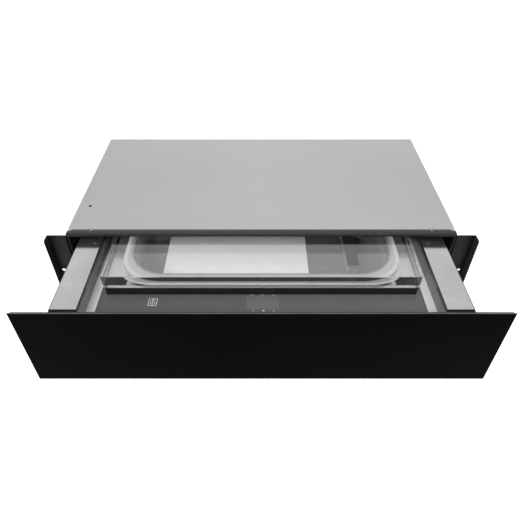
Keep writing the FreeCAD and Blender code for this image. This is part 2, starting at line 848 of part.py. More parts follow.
def ball_cage(label, side, front, near, far, web, row):
    """Two strips of balls above and below the slide's centre, joined by a thin web, as a list of solids."""
    length = f"({BALLS_PER_ROW - 1} * ball_pitch + 2 * cage_end)"
    strips, balls, pockets = [], [], []
    middle = f"{side} * ({near} + {far}) / 2"
    for level, sign in (("top", "+"), ("bottom", "-")):
        height = f"(slide_height {sign} {row})"
        strips.append(block(f"{label}_{level}", sided(side, f"min({near}; {web})", f"max({far}; {web})"),
                            (front, f"{front} + {length}"),
                            (f"{height} - cage_sheet / 2", f"{height} + cage_sheet / 2")))
        for index in range(BALLS_PER_ROW):
            place = f"{front} + cage_end + {index} * ball_pitch"
            balls.append(ball(f"{label}_{level}_ball_{index}", "ball_radius", middle, place, height))
            pockets.append(rod(f"{label}_{level}_pocket_{index}", "z", "ball_radius + cage_sheet / 10",
                               f"{height} - cage_sheet", f"{height} + cage_sheet", middle, place))
    strips.append(block(f"{label}_web", sided(side, f"{web} - cage_sheet / 2", f"{web} + cage_sheet / 2"),
                        (front, f"{front} + {length}"), (f"slide_height - {row}", f"slide_height + {row}")))
    return [cut(f"{label}_retainer", fuse(f"{label}_strips", strips), pockets)] + balls


def ball_cages():
    """Balls between the slide members, in one group for each row; the two sides move alike."""
    outer_row = "(outer_half + middle_half - outer_sheet) / 2"
    inner_row = "(inner_half + middle_half - middle_sheet) / 2"
    wall = "housing_width / 2 - sheet"
    outer, inner = [], []
    for name, side in SIDES:
        outer += ball_cage(f"outer_ball_cage_{name}", side, "outer_cage_front",
                           "(rail_outer + middle_web - cage_lap)",
                           "(rail_outer + middle_far - cage_lap)",
                           f"((rail_outer + middle_far + {wall} - outer_sheet) / 2)",
                           outer_row)
        inner += ball_cage(f"inner_ball_cage_{name}", side, "inner_cage_front",
                           "(rail_outer + middle_near - cage_lap)",
                           "(rail_outer + inner_reach)", "(rail_outer + (inner_reach + middle_web) / 2)",
                           inner_row)
    keep("outer_ball_cages", group("outer_ball_cages", outer))
    keep("inner_ball_cages", group("inner_ball_cages", inner))


# Drawer

def side_cover(name, side):
    """Box rail: outer wall, top, inner wall and the ledge beside the control panel, folded from one sheet."""
    body = new_body(f"side_cover_{name}")
    profile = new_sketch(body, "XZ_Plane", f"side_cover_{name}_profile", "-rail_front")
    outer, inner, top, low = "rail_outer", "rail_inner", "rail_top", "chassis_bottom"
    ledge, step = "ledge_inner", "(ledge_top - sheet)"
    corners = [(outer, low), (outer, top), (inner, top), (inner, "ledge_top"), (ledge, "ledge_top"),
               (ledge, step),
               (f"{inner} + sheet", step), (f"{inner} + sheet", f"{top} - sheet"),
               (f"{outer} - sheet", f"{top} - sheet"),
               (f"{outer} - sheet", low)]
    add_polygon(profile, [(f"{side} * ({x})", z) for x, z in corners])
    pad(body, profile, "drawer_back - rail_front", back=True)
    crest = number(top)
    soften(body, "Fillet", "rail_bend", lambda edge: runs_along(edge, "y") and level_at(edge, crest))
    keep(f"side_cover_{name}", body)


def drawer_chassis():
    """Bottom with front and rear walls, folded from one sheet, with slots under the fan."""
    body = new_body("chassis_body")
    profile = new_sketch(body, "YZ_Plane", "chassis_profile", "-(rail_outer - sheet)")
    low, floor = "chassis_bottom", "(chassis_bottom + sheet)"
    front, back = "rail_front", "drawer_back"
    add_polygon(profile, [(front, low), (back, low), (back, "chassis_rear_wall"),
                          (f"{back} - sheet", "chassis_rear_wall"),
                          (f"{back} - sheet", floor), (f"{front} + sheet", floor),
                          (f"{front} + sheet", "chassis_front_wall"), (front, "chassis_front_wall")])
    pad(body, profile, "2 * (rail_outer - sheet)")
    slots = []
    for index in range(FAN_SLOTS):
        middle = f"fan_depth + {index - (FAN_SLOTS - 1) / 2} * fan_slot_pitch"
        slots.append(block(f"fan_slot_{index}",
                           ("fan_x - fan_slot_length / 2", "fan_x + fan_slot_length / 2"),
                           (f"{middle} - fan_slot_width / 2", f"{middle} + fan_slot_width / 2"),
                           (low, floor)))
    keep("drawer_chassis", cut("drawer_chassis", body, slots))


def deck_plate():
    """Plate at the height of the ledges on four welded posts, open in the middle for the chamber."""
    z = ("ledge_top - deck_sheet", "ledge_top")
    plate = block("deck_sheet_plate", ("-ledge_inner", "ledge_inner"),
                  ("deck_front", "drawer_back - sheet"), z)
    opening = block("deck_opening", ("-deck_cut_half", "deck_cut_half"),
                    ("deck_cut_front", "deck_cut_back"), z)
    posts = []
    places = [(x, y) for x in ("-post_x", "post_x") for y in ("post_front", "post_back")]
    for index, (x, y) in enumerate(places):
        posts.append(rod(f"post_{index}", "z", "post_radius", "chassis_bottom + sheet",
                         "ledge_top - deck_sheet", x, y))
    keep("deck_plate", fuse("deck_plate", [cut("deck_frame", plate, [opening])] + posts))


def deck_skirt():
    """Black strip round the front and the sides of the chamber's flange."""
    body = new_body("deck_skirt")
    plan = new_sketch(body, "XY_Plane", "skirt_plan", "ledge_top")
    outer, inner = "skirt_half", "(skirt_half - skirt_sheet)"
    front, back = "lid_front", "lid_back"
    add_polygon(plan, [(f"-{outer}", front), (outer, front), (outer, back), (inner, back),
                       (inner, f"{front} + skirt_sheet"),
                       (f"-{inner}", f"{front} + skirt_sheet"), (f"-{inner}", back), (f"-{outer}", back)])
    pad(body, plan, "skirt_top - ledge_top")
    keep("deck_skirt", body)


def vacuum_chamber():
    """Thick flange with a seal groove and a deep tub with round corners, in one piece."""
    body = new_body("chamber_body")
    flange = new_sketch(body, "XY_Plane", "chamber_flange", "deck_top - flange_thick")
    half = "(skirt_half - skirt_sheet)"
    front = "lid_front + skirt_sheet"
    add_polygon(flange, [(f"-{half}", front), (half, front), (half, "lid_back"), (f"-{half}", "lid_back")])
    pad(body, flange, "flange_thick")
    tub = new_sketch(body, "XY_Plane", "chamber_tub", "chamber_floor - chamber_wall")
    add_round_rectangle(tub, ("-(chamber_half + chamber_wall)", "chamber_half + chamber_wall"),
                        ("chamber_front - chamber_wall", "chamber_back + chamber_wall"),
                        "chamber_corner + chamber_wall")
    pad(body, tub, "deck_top - flange_thick - chamber_floor + chamber_wall")
    hollow = new_sketch(body, "XY_Plane", "chamber_hollow", "chamber_floor")
    add_round_rectangle(hollow, ("-chamber_half", "chamber_half"), ("chamber_front", "chamber_back"),
                        "chamber_corner")
    pocket(body, hollow, "deck_top - chamber_floor", back=True)
    floor = number("chamber_floor")
    soften(body, "Fillet", "floor_round", lambda edge: level_at(edge, floor))
    under = number("chamber_floor - chamber_wall")
    soften(body, "Fillet", "floor_round + chamber_wall", lambda edge: level_at(edge, under))
    rim = number("deck_top")
    inner_front = number("chamber_front")
    inner_half = number("chamber_half")
    soften(body, "Fillet", "rim_round",
           lambda edge: level_at(edge, rim) and edge.BoundBox.YMin > inner_front - 1
           and abs(edge.BoundBox.XMax) < inner_half + 1 and abs(edge.BoundBox.XMin) < inner_half + 1)
    groove = new_sketch(body, "XY_Plane", "seal_groove", "deck_top")
    seal_outline(groove, "groove_width")
    pocket(body, groove, "groove_depth")
    holes = [rod(f"pin_hole_{index}", "z", "pin_radius + pin_fit", "chamber_floor - 2 * chamber_wall",
                 "chamber_floor + chamber_wall", "bar_centre", depth) for index,
                 depth in enumerate(("pin_front", "pin_back"))]
    outlet = rod("outlet_hole", "z", "port_bore", "chamber_floor - 2 * chamber_wall",
                 "chamber_floor + chamber_wall",
                 "valve_left + valve_width / 2", "port_depth")
    keep("vacuum_chamber", cut("vacuum_chamber", body, holes + [outlet]))


def seal_outline(sketch, width):
    """Outer and inner line of a ring round the mouth; the seal's sizes run along its centre line."""
    for reach in (f"{width} / 2", f"-{width} / 2"):
        add_round_rectangle(sketch, (f"-(seal_half + {reach})", f"seal_half + {reach}"),
                            (f"seal_front - ({reach})", f"seal_back + {reach}"), f"seal_corner + {reach}")


def seal_ring():
    body = new_body("seal_ring")
    ring = new_sketch(body, "XY_Plane", "seal_plan", "deck_top - groove_depth")
    seal_outline(ring, "seal_width")
    pad(body, ring, "seal_top - deck_top + groove_depth")
    crest = number("seal_top")
    soften(body, "Fillet", "seal_round", lambda edge: level_at(edge, crest))
    keep("seal_ring", body)


def lid_glass():
    body = new_body("lid_glass")
    outline = new_sketch(body, "XY_Plane", "lid_outline", "lid_bottom")
    add_round_rectangle(outline, ("-lid_half", "lid_half"), ("lid_front", "lid_back"), "lid_corner")
    pad(body, outline, "lid_thick")
    top, bottom = number("lid_bottom + lid_thick"), number("lid_bottom")
    soften(body, "Chamfer", "lid_chamfer", lambda edge: level_at(edge, top) or level_at(edge, bottom))
    keep("lid_glass", body)


def counter_strip():
    x = ("bar_centre - strip_width / 2", "bar_centre + strip_width / 2")
    keep("counter_strip",
         block("counter_strip", x, ("bar_front", "bar_back"), ("lid_bottom - strip_thick", "lid_bottom")))


def sealing_bar():
    """Bar with broken top edges, its cover tape, two pins with pistons and the cylinders they move in."""
    body = new_body("sealing_bar")
    profile = new_sketch(body, "XZ_Plane", "bar_profile", "-bar_front")
    left, right = "bar_centre - bar_width / 2", "bar_centre + bar_width / 2"
    add_polygon(profile, [(left, "bar_bottom"), (right, "bar_bottom"), (right, "bar_top - bar_edge"),
                          (f"{right} - bar_edge", "bar_top"), (f"{left} + bar_edge", "bar_top"),
                          (left, "bar_top - bar_edge")])
    pad(body, profile, "bar_back - bar_front", back=True)
    keep("sealing_bar", body)
    tape = ("bar_centre - bar_width / 2 + tape_inset", "bar_centre + bar_width / 2 - tape_inset")
    keep("bar_tape", block("bar_tape", tape, ("bar_front", "bar_back"), ("bar_top", "bar_top + tape_thick")))
    pins, cylinders = [], []
    for index, depth in enumerate(("pin_front", "pin_back")):
        shank = rod(f"pin_shank_{index}", "z", "pin_radius", "piston_bottom", "bar_bottom", "bar_centre",
                    depth)
        piston = rod(f"pin_piston_{index}", "z", "piston_radius", "piston_bottom",
                     "piston_bottom + piston_thick",
                     "bar_centre", depth)
        pins.append(fuse(f"pin_{index}", [shank, piston]))
        shell = rod(f"lift_shell_{index}", "z", "cylinder_radius", "cylinder_bottom",
                    "chamber_floor - chamber_wall",
                    "bar_centre", depth)
        bore = rod(f"lift_bore_{index}", "z", "cylinder_bore", "cylinder_bottom + cylinder_cap",
                   "chamber_floor - chamber_wall", "bar_centre", depth)
        cylinders.append(cut(f"lift_{index}", shell, [bore]))
    keep("bar_pins", group("bar_pins", pins))
    keep("bar_lift_cylinders", group("bar_lift_cylinders", cylinders))


def insert_plate():
    """White plate that lies in the chamber on four low feet."""
    body = new_body("insert_plate_body")
    outline = new_sketch(body, "XY_Plane", "insert_outline", "insert_top - insert_thick")
    add_round_rectangle(outline, ("insert_left", "insert_right"), ("insert_front", "insert_back"),
                        "insert_corner")
    pad(body, outline, "insert_thick")
    feet = []
    places = [(x, y) for x in ("insert_left + insert_foot_inset", "insert_right - insert_foot_inset")
              for y in ("insert_front + insert_foot_inset", "insert_back - insert_foot_inset")]
    for index, (x, y) in enumerate(places):
        feet.append(rod(f"insert_foot_{index}", "z", "insert_foot", "chamber_floor",
                        "insert_top - insert_thick", x, y))
    keep("insert_plate", fuse("insert_plate", [body] + feet))


# Lid hinges

def hinge_bracket(name, side):
    """Folded bracket that grips the lid's rear edge and carries the knuckle."""
    x = sided(side, "hinge_place - hinge_width / 2", "hinge_place + hinge_width / 2")
    back = ("lid_back", "lid_back + hinge_sheet")
    grip = ("lid_back - hinge_grip", "lid_back + hinge_sheet")
    top, bottom = "(lid_bottom + lid_thick)", "lid_bottom"
    legs = [
        block(f"hinge_{name}_upper", x, grip, (top, f"{top} + hinge_sheet")),
        block(f"hinge_{name}_lower", x, grip, (f"{bottom} - hinge_sheet", bottom)),
        block(f"hinge_{name}_back", x, back, (bottom, top)),
        block(f"hinge_{name}_web", x, (back[1], "hinge_axis_depth"),
              ("hinge_axis_height - knuckle_web / 2", "hinge_axis_height + knuckle_web / 2")),
        rod(f"hinge_{name}_knuckle", "x", "knuckle_radius", x[0], x[1], "hinge_axis_depth",
            "hinge_axis_height"),
    ]
    bore = rod(f"hinge_{name}_bore", "x", "knuckle_bore", x[0], x[1], "hinge_axis_depth", "hinge_axis_height")
    keep(f"hinge_bracket_{name}", cut(f"hinge_bracket_{name}", fuse(f"hinge_{name}_solid", legs), [bore]))


def hinge_base(name, side):
    """Foot with two lugs that holds the pin."""
    inner, outer = "hinge_width / 2 + lug_gap", "hinge_width / 2 + lug_gap + lug_thick"
    spans = [sided(side, f"hinge_place - ({outer})", f"hinge_place - ({inner})"),
             sided(side, f"hinge_place + {inner}", f"hinge_place + {outer}")]
    lugs = [block(f"hinge_{name}_lug_{index}", span, ("lug_front", "lug_back"), ("ledge_top", "lug_top"))
            for index, span in enumerate(spans)]
    floor = block(f"hinge_{name}_floor", sided(side, f"hinge_place - ({outer})", f"hinge_place + {outer}"),
                  ("lug_front", "lug_back"), ("ledge_top", "ledge_top + hinge_base_thick"))
    hole = hinge_pin(f"hinge_{name}_hole", side)
    return cut(f"hinge_base_{name}", fuse(f"hinge_{name}_base", lugs + [floor]), [hole])


def hinge_pin(label, side):
    reach = "(hinge_width / 2 + lug_gap + lug_thick)"
    x = sided(side, f"hinge_place - {reach}", f"hinge_place + {reach}")
    return rod(label, "x", "hinge_pin", x[0], x[1], "hinge_axis_depth", "hinge_axis_height")


def lid_hinges():
    for name, side in SIDES:
        hinge_bracket(name, side)
    keep("hinge_bases", group("hinge_bases", [hinge_base(name, side) for name, side in SIDES]))
    keep("hinge_pins", group("hinge_pins", [hinge_pin(f"hinge_pin_{name}", side) for name, side in SIDES]))


# Control panel

def control_panel():
    """Glass strip, the tray under it, the touch board and the display module."""
    glass = block("control_glass", ("-control_half", "control_half"), ("control_front", "control_back"),
                  ("ledge_top - control_thick", "ledge_top"))
    keep("control_glass", glass)
    under = "ledge_top - control_thick"
    front = "rail_front + sheet"
    case = block("tray_block", ("-tray_half", "tray_half"), (front, "tray_back"), ("tray_bottom", under))
    room = block("tray_room", ("-(tray_half - tray_wall)", "tray_half - tray_wall"),
                 (f"{front} + tray_wall", "tray_back - tray_wall"), ("tray_bottom + tray_wall", under))
    keep("control_tray", cut("control_tray", case, [room]))
    board = block("touch_plate", ("-touch_half", "touch_half"), ("touch_front", "touch_back"),
                  (f"{under} - board_thick", under))
    window = block("touch_window", ("-(display_half + display_fit)", "display_half + display_fit"),
                   ("display_front - display_fit", "display_back + display_fit"),
                   (f"{under} - board_thick", under))
    keep("touch_board", cut("touch_board", board, [window]))
    keep("display_module",
         block("display_module", ("-display_half", "display_half"), ("display_front", "display_back"),
                                 (f"{under} - display_thick", under)))


# Vacuum pump

def vacuum_pump():
    """Motor between two heads, on a bracket with rubber mounts; the rotor has an eccentric for each head."""
    depth, height = "pump_depth", "pump_height"
    tube = rod("motor_tube", "x", "motor_radius", "-motor_half", "motor_half", depth, height)
    room = rod("motor_room", "x", "motor_bore", "-(motor_half - motor_end)", "motor_half - motor_end",
               depth, height)
    bearing = rod("motor_bearing", "x", "shaft_radius + shaft_fit", "-motor_half", "motor_half", depth,
                  height)
    keep("pump_motor_housing", cut("pump_motor_housing", tube, [room, bearing]))
    turning = [rod("rotor_core", "x", "rotor_radius", "-rotor_half", "rotor_half", depth, height),
               rod("rotor_shaft", "x", "shaft_radius", "-shaft_half", "shaft_half", depth, height)]
    for name, side in SIDES:
        x = sided(side, "eccentric_place - eccentric_half", "eccentric_place + eccentric_half")
        turning.append(rod(f"eccentric_{name}", "x", "eccentric_radius", x[0], x[1], depth,
                           f"pump_height {'+' if side == RIGHT else '-'} eccentric_shift"))
    keep("pump_rotor", fuse("pump_rotor", turning))
    for name, side in SIDES:
        pump_head(name, side)
    plate = block("bracket_plate", ("-bracket_half", "bracket_half"),
                  ("pump_depth - bracket_half_depth", "pump_depth + bracket_half_depth"),
                  ("bracket_bottom", "bracket_bottom + bracket_sheet"))
    saddles = [block(f"saddle_{name}",
                     sided(side, "saddle_place - saddle_half", "saddle_place + saddle_half"),
                     ("pump_depth - saddle_half_depth", "pump_depth + saddle_half_depth"),
                     ("bracket_bottom + bracket_sheet", "saddle_top")) for name, side in SIDES]
    seat = rod("saddle_seat", "x", "motor_radius", "-motor_half", "motor_half", depth, height)
    keep("pump_bracket", cut("pump_bracket", fuse("bracket_solid", [plate] + saddles), [seat]))
    mounts = []
    for index, (x, shift) in enumerate((x, s) for x in ("-mount_x", "mount_x") for s in ("-", "+")):
        mounts.append(rod(f"pump_mount_{index}", "z", "mount_radius", "chassis_bottom + sheet",
                          "bracket_bottom",
                          x, f"pump_depth {shift} mount_y"))
    keep("pump_mounts", group("pump_mounts", mounts))


def pump_head(name, side):
    x = sided(side, "motor_half", "motor_half + head_length")
    case = block(f"head_{name}_case", x, ("pump_depth - head_half_depth", "pump_depth + head_half_depth"),
                 ("pump_height - head_half_height", "pump_height + head_half_height"))
    cap = block(f"head_{name}_cap",
                sided(side, "motor_half + head_cap_inset", "motor_half + head_length - head_cap_inset"),
                ("pump_depth - head_half_depth - head_cap", "pump_depth - head_half_depth"),
                ("pump_height - head_half_height + head_cap_inset",
                 "pump_height + head_half_height - head_cap_inset"))
    room_x = sided(side, "motor_half", "motor_half + head_cavity_deep")
    room = rod(f"head_{name}_room", "x", "head_cavity", room_x[0], room_x[1], "pump_depth", "pump_height")
    keep(f"pump_head_{name}", cut(f"pump_head_{name}", fuse(f"head_{name}_solid", [case, cap]), [room]))


def vacuum_line():
    """Port under the chamber, a hose, and the vent valve beside the right pump head."""
    middle = "valve_left + valve_width / 2"
    front = "pump_depth - valve_half_depth"
    drop = rod("port_drop", "z", "port_radius", "port_bottom", "chamber_floor - chamber_wall", middle,
               "port_depth")
    barb = rod("port_barb", "y", "nipple_radius", "port_depth", "port_depth + port_radius + barb_length",
               middle, "hose_height")
    bore = rod("port_bore_down", "z", "port_bore", "hose_height", "chamber_floor - chamber_wall", middle,
               "port_depth")
    way = rod("port_bore_back", "y", "port_bore", "port_depth", "port_depth + port_radius + barb_length",
              middle, "hose_height")
    keep("chamber_port", cut("chamber_port", fuse("port_solid", [drop, barb]), [bore, way]))
    tube = rod("hose_tube", "y", "hose_radius", "port_depth + port_radius", front, middle, "hose_height")
    inside = rod("hose_bore", "y", "nipple_radius", "port_depth + port_radius", front, middle, "hose_height")
    keep("vacuum_hose", cut("vacuum_hose", tube, [inside]))
    case = block("valve_case", ("valve_left", "valve_left + valve_width"),
                 (front, "pump_depth + valve_half_depth"),
                 ("chassis_bottom + sheet", "valve_top"))
    coil = rod("valve_coil_can", "z", "valve_coil", "valve_top", "valve_top + valve_coil", middle,
               "pump_depth")
    nipple = rod("valve_nipple", "x", "nipple_radius", "motor_half + head_length", "valve_left",
                 "pump_depth", "pump_height")
    inlet = rod("valve_inlet", "y", "nipple_radius", f"{front} - barb_length", front, middle, "hose_height")
    keep("vent_valve", fuse("vent_valve", [case, coil, nipple, inlet]))


# Electrics

def board_part(name):
    """A block on the power board; its sizes in the sheet are named after it."""
    left, front = f"power_left + {name}_start", f"power_front + {name}_front"
    low = "power_height + board_thick"
    return block(f"power_{name}", (left, f"{left} + {name}_length"), (front, f"{front} + {name}_deep"),
                 (low, f"{low} + {name}_tall"))


def power_board():
    """Board with a capacitor, a choke and a relay, on four spacers."""
    x, y = ("power_left", "power_right"), ("power_front", "power_back")
    top = "power_height + board_thick"
    board = block("power_plate", x, y, ("power_height", top))
    can = rod("power_can", "z", "capacitor_radius", top, f"{top} + capacitor_height",
              "power_left + capacitor_inset", "power_front + capacitor_inset")
    keep("power_board", fuse("power_board", [board, can, board_part("choke"), board_part("relay")]))
    spacers = []
    places = [(px, py) for px in ("power_left + spacer_inset", "power_right - spacer_inset")
              for py in ("power_front + spacer_inset", "power_back - spacer_inset")]
    for index, (px, py) in enumerate(places):
        spacers.append(rod(f"spacer_{index}", "z", "spacer_radius", "chassis_bottom + sheet",
                           "power_height", px, py))
    keep("board_spacers", group("board_spacers", spacers))


def sealing_transformer():
    low = "chassis_bottom + sheet"
    core = block("core", ("core_left", "core_left + core_length"), ("core_front", "core_front + core_depth"),
                 (low, f"{low} + core_height"))
    centre = "(core_left + core_length / 2)"
    coil = block("coil", (f"{centre} - coil_half", f"{centre} + coil_half"),
                 ("core_front - coil_bulge", "core_front + core_depth + coil_bulge"),
                 (f"{low} + coil_low", f"{low} + core_height - coil_low"))
    keep("sealing_transformer", fuse("sealing_transformer", [core, coil]))


def cooling_fan():
    """Square frame with a round opening and a strut that holds the axle; the hub carries pitched blades."""
    low = "(chassis_bottom + sheet)"
    x, y = ("fan_x - fan_half", "fan_x + fan_half"), ("fan_depth - fan_half", "fan_depth + fan_half")
    frame = block("fan_square", x, y, (low, f"{low} + fan_thick"))
    opening = rod("fan_round", "z", "fan_opening", low, f"{low} + fan_thick", "fan_x", "fan_depth")
    strut = block("fan_cross", x, ("fan_depth - fan_strut", "fan_depth + fan_strut"),
                  (low, f"{low} + fan_strut / 2"))
    axle = rod("fan_axle_pin", "z", "fan_axle", low, f"{low} + fan_thick", "fan_x", "fan_depth")
    keep("fan_frame", fuse("fan_frame", [cut("fan_ring", frame, [opening]), strut, axle]))
    hub_low = f"{low} + fan_hub_low"
    hub = rod("fan_hub_can", "z", "fan_hub", hub_low, f"{hub_low} + fan_hub_height", "fan_x", "fan_depth")
    bore = rod("fan_hub_bore", "z", "fan_axle + fan_axle_fit", hub_low, f"{hub_low} + fan_hub_height",
               "fan_x", "fan_depth")
    blades = [fan_blade(index) for index in range(BLADE_COUNT)]
    keep("fan_rotor", cut("fan_rotor", fuse("fan_rotor_solid", [hub] + blades), [bore]))


def fan_blade(index):
    """One flat blade, pitched about its own radius and turned round the hub."""
    blade = doc.addObject("Part::Box", f"fan_blade_{index}")
    bind(blade, Length="fan_blade_reach - fan_hub / 2", Width="fan_blade_thick", Height="fan_blade_height")
    turn = FreeCAD.Rotation(Vector(0, 0, 1), 360.0 * index / BLADE_COUNT)
    pitch = FreeCAD.Rotation(Vector(1, 0, 0), BLADE_PITCH_DEGREES)
    blade.Placement.Rotation = turn.multiply(pitch)
    direction = turn.multVec(Vector(1, 0, 0))
    start = "fan_hub / 2"
    bind(blade, Placement__Base__x=f"fan_x + {start} * {direction.x:.6f}",
         Placement__Base__y=behind_front(f"fan_depth + {start} * {direction.y:.6f}"),
         Placement__Base__z="chassis_bottom + sheet + fan_hub_low + fan_thick / 10")
    return blade


def build():
    fill_sheet()
    front_glass()
    front_carrier()
    housing_shell()
    housing_top_cover()
    housing_nose()
    housing_rear_panel()
    housing_feet()
    housing_screws()
    mains_gland()
    push_latch()
    for name, side in SIDES:
        mounting_flange(name, side)
        slides(name, side)
        rail_end_block(name, side)
        side_cover(name, side)
    ball_cages()
    lid_hinges()
    bumpers()
    drawer_chassis()
    deck_plate()
    deck_skirt()
    vacuum_chamber()
    seal_ring()
    lid_glass()
    counter_strip()
    sealing_bar()
    insert_plate()
    control_panel()
    vacuum_pump()
    vacuum_line()
    power_board()
    sealing_transformer()
    cooling_fan()
    doc.removeObject(probe.Name)
    doc.recompute()


def check():
    """Stops when any object failed or any sub-part has no sound shape."""
    for thing in doc.Objects:
        if "Invalid" in thing.State or "Error" in thing.State:
            raise ValueError(f"{thing.Name} did not build: {thing.State}")
    for thing in nodes:
        if thing.Shape.isNull() or not thing.Shape.isValid() or not thing.Shape.Solids:
            raise ValueError(f"{thing.Label} has no sound solid")


def write():
    os.makedirs("parts", exist_ok=True)
    for thing in nodes:
        thing.Shape.exportStep(os.path.join("parts", f"{thing.Label}.step"))
        box = thing.Shape.BoundBox
        print(f"{thing.Label}: {len(thing.Shape.Solids)} solids, {thing.Shape.Volume:.0f} mm3, "
              f"x {box.XMin:.1f} {box.XMax:.1f}, y {box.YMin:.1f} {box.YMax:.1f}, "
              f"z {box.ZMin:.1f} {box.ZMax:.1f}")


build()
check()
write()
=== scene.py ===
import math

import bmesh
import bpy
from mathutils import Matrix, Vector


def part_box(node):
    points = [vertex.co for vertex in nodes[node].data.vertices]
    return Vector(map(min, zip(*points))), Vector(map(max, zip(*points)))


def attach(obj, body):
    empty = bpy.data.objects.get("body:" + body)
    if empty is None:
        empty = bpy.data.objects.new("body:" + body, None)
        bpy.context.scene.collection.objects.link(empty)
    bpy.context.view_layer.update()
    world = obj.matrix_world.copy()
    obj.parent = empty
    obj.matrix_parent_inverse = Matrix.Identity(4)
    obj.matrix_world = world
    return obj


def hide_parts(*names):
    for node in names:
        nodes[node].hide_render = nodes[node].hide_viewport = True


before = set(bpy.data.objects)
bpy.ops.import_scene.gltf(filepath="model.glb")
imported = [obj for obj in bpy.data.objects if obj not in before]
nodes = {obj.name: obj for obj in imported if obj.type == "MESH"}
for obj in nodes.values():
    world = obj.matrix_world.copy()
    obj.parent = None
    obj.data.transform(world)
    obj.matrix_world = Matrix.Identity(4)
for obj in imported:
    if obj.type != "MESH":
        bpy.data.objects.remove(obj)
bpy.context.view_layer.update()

# Camera: metres, and pixels of a 518 pixel wide picture
PICTURE = 518.0
FOCAL_PIXELS = 468.9
HORIZON_PIXELS = 191.1
CAMERA_PLACE = (-0.0033, -0.5443, 0.5829)
CAMERA_DIP = math.radians(37.47)
CAMERA_NEAR = 0.01
SENSOR = 36.0

# Surroundings: metres, and the strength of the light from the floor and from all sides
FLOOR_REACH = 6.0
FLOOR_GLOW = 0.68
ROOM_LIGHT = 0.38
LAMP_TARGET = (0.0, 0.0, 0.1)

# Places on the solids. The depths below count from the front face of the panel
FRONT_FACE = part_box("front_glass")[0][1]
PANEL_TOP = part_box("front_glass")[1][2]
HOUSING_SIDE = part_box("housing_shell")[1][0]
NOSE_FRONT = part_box("housing_nose")[0][1]
NOSE_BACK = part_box("housing_nose")[1][1]
RAIL_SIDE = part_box("side_cover_right")[1][0]
RAIL_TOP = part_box("side_cover_right")[1][2]
LEDGE_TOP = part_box("control_glass")[1][2]
FLANGE_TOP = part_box("vacuum_chamber")[1][2]
TUB_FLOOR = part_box("insert_plate")[0][2]
SLAB_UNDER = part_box("lid_glass")[0][2]

# Where a finish changes: the panel's ground edge, paler partly as a painted highlight, and the crown of the
# nose, paler as a painted reflection
GROUND_EDGE = 0.0001
NOSE_FACE = 0.001

# Where a finish changes at a rail: above the ledge, below the top, at the outer bend, at the inner wall.
# These bound the painted light on the ledge, the painted shade on the inner wall and the painted dark
# reflection on the outer bend
LEDGE_RISE = 0.0006
TOP_SHEET = 0.0009
OUTER_BEND = 0.0014
BEND_SOFT = 0.0002
INNER_WALL = 0.2244
WALL_SOFT = 0.001

# Where a finish changes in the chamber: above the floor, at the foot of the rim, below the flange's top.
# Between them the wall is painted from the shade of the floor up to the light of the rim
FLOOR_ROUND = 0.002
RIM_FOOT = 0.1025
RIM_DROP = 0.0002

# Reach of the painted highlight along the middle of the cover, and of the painted light that grows along the
# touch strip
COVER_PAINTED_SHEEN = 0.32
STRIP_PAINTED_LIGHT_REACH = 0.2

# Where the cover's sheet laps over the ends of the nose, and the two bright dots in front of the cover
LAP_SIDE = 0.263
LAP_SLANT = 0.5
LAP_SOFT = 0.001
DOT_SIDE = 0.239
DOT_DEPTH = 0.1425
DOT_RADIUS = 0.0009
DOT_SOFT = 0.0003

# Seal: half width, front, back and corner radius of its centre line, and the flat of its crest
SEAL_LINE = (0.1858, 0.0698, 0.226, 0.044)
SEAL_CREST = 0.0054

# Lip inside the seal: its inner edge, how far outside of that it is thin, and the share of its grey there
LIP_EDGE = (0.1764, 0.0792, 0.2204, 0.046)
LIP_FADE = 0.004
LIP_THIN = 0.4

# How far a contact face reaches below and into the underside of the slab, and the corners of the strip's one
CONTACT_SINK = 0.0002
CONTACT_PRESS = 0.00012
STRIP_CORNER = 0.0006

# Colours of the slab and of the light that goes far through it, and the share of haze on its ground edges
SLAB_TINT = (0.993, 0.998, 0.996)
SLAB_DEPTH_TINT = (0.72, 0.8, 0.78)
EDGE_HAZE = 0.045

# Marks printed on the touch strip: the gap below them, as below the outlet's cap, and their thickness
FACE_GAP = 0.00004
PRINT_THICK = 0.00003

# Places of the marks, as sideways distance and depth, and their sizes, as width, height and corner radius
ICON_PLACE = (-0.142, 0.0515)
ICON_FRAME = ((0.0116, 0.0119, 0.0009), (0.0102, 0.0105, 0.0009))
ICON_FLAP = ((-0.0026, 0.0056), (0.0, 0.0034), (0.0026, 0.0056))
LENS_PLACE = (-0.142, 0.0509)
LENS_WIDTHS = (0.0068, 0.0055)
STEM = (0.0012, 0.0032, 0.0004)
ARROW_PLACE = (0.0025, 0.0382)
ARROW = ((-0.0019, -0.0012), (0.0019, -0.0012), (0.0, 0.0014))
KEY_DEPTH = 0.0518
KEYS = {-0.105: (0.0088, 0.0075, 0.0024), -0.0705: (0.0052, 0.0075, 0.0024)}
DASH_DEPTH = 0.0629
DASH_SIDES = (-0.0126, 0.0013, 0.0158)
DASH = (0.0034, 0.0012, 0.0004)
RING_PLACE = (-0.0106, 0.0382)
RING_WIDTHS = (0.0034, 0.0022)
POINT_PLACE = (0.0157, 0.0378)
POINT = (0.0022, 0.0022, 0.0009)
WINDOW_PLACE = (0.0013, 0.051)
WINDOW = (0.0418, 0.0214, 0.0012)

# A disc's width over its corner radius, just over two, so that its corners don't meet
DISC_PART = 2.1

# Screws of the housing: depth and the sheet below the head of a front and a rear one, and the heights of both
SCREW_SEATS = ((0.15, 0.0015), (0.381, 0.0))
SCREW_HEIGHTS = (0.022, 0.112)

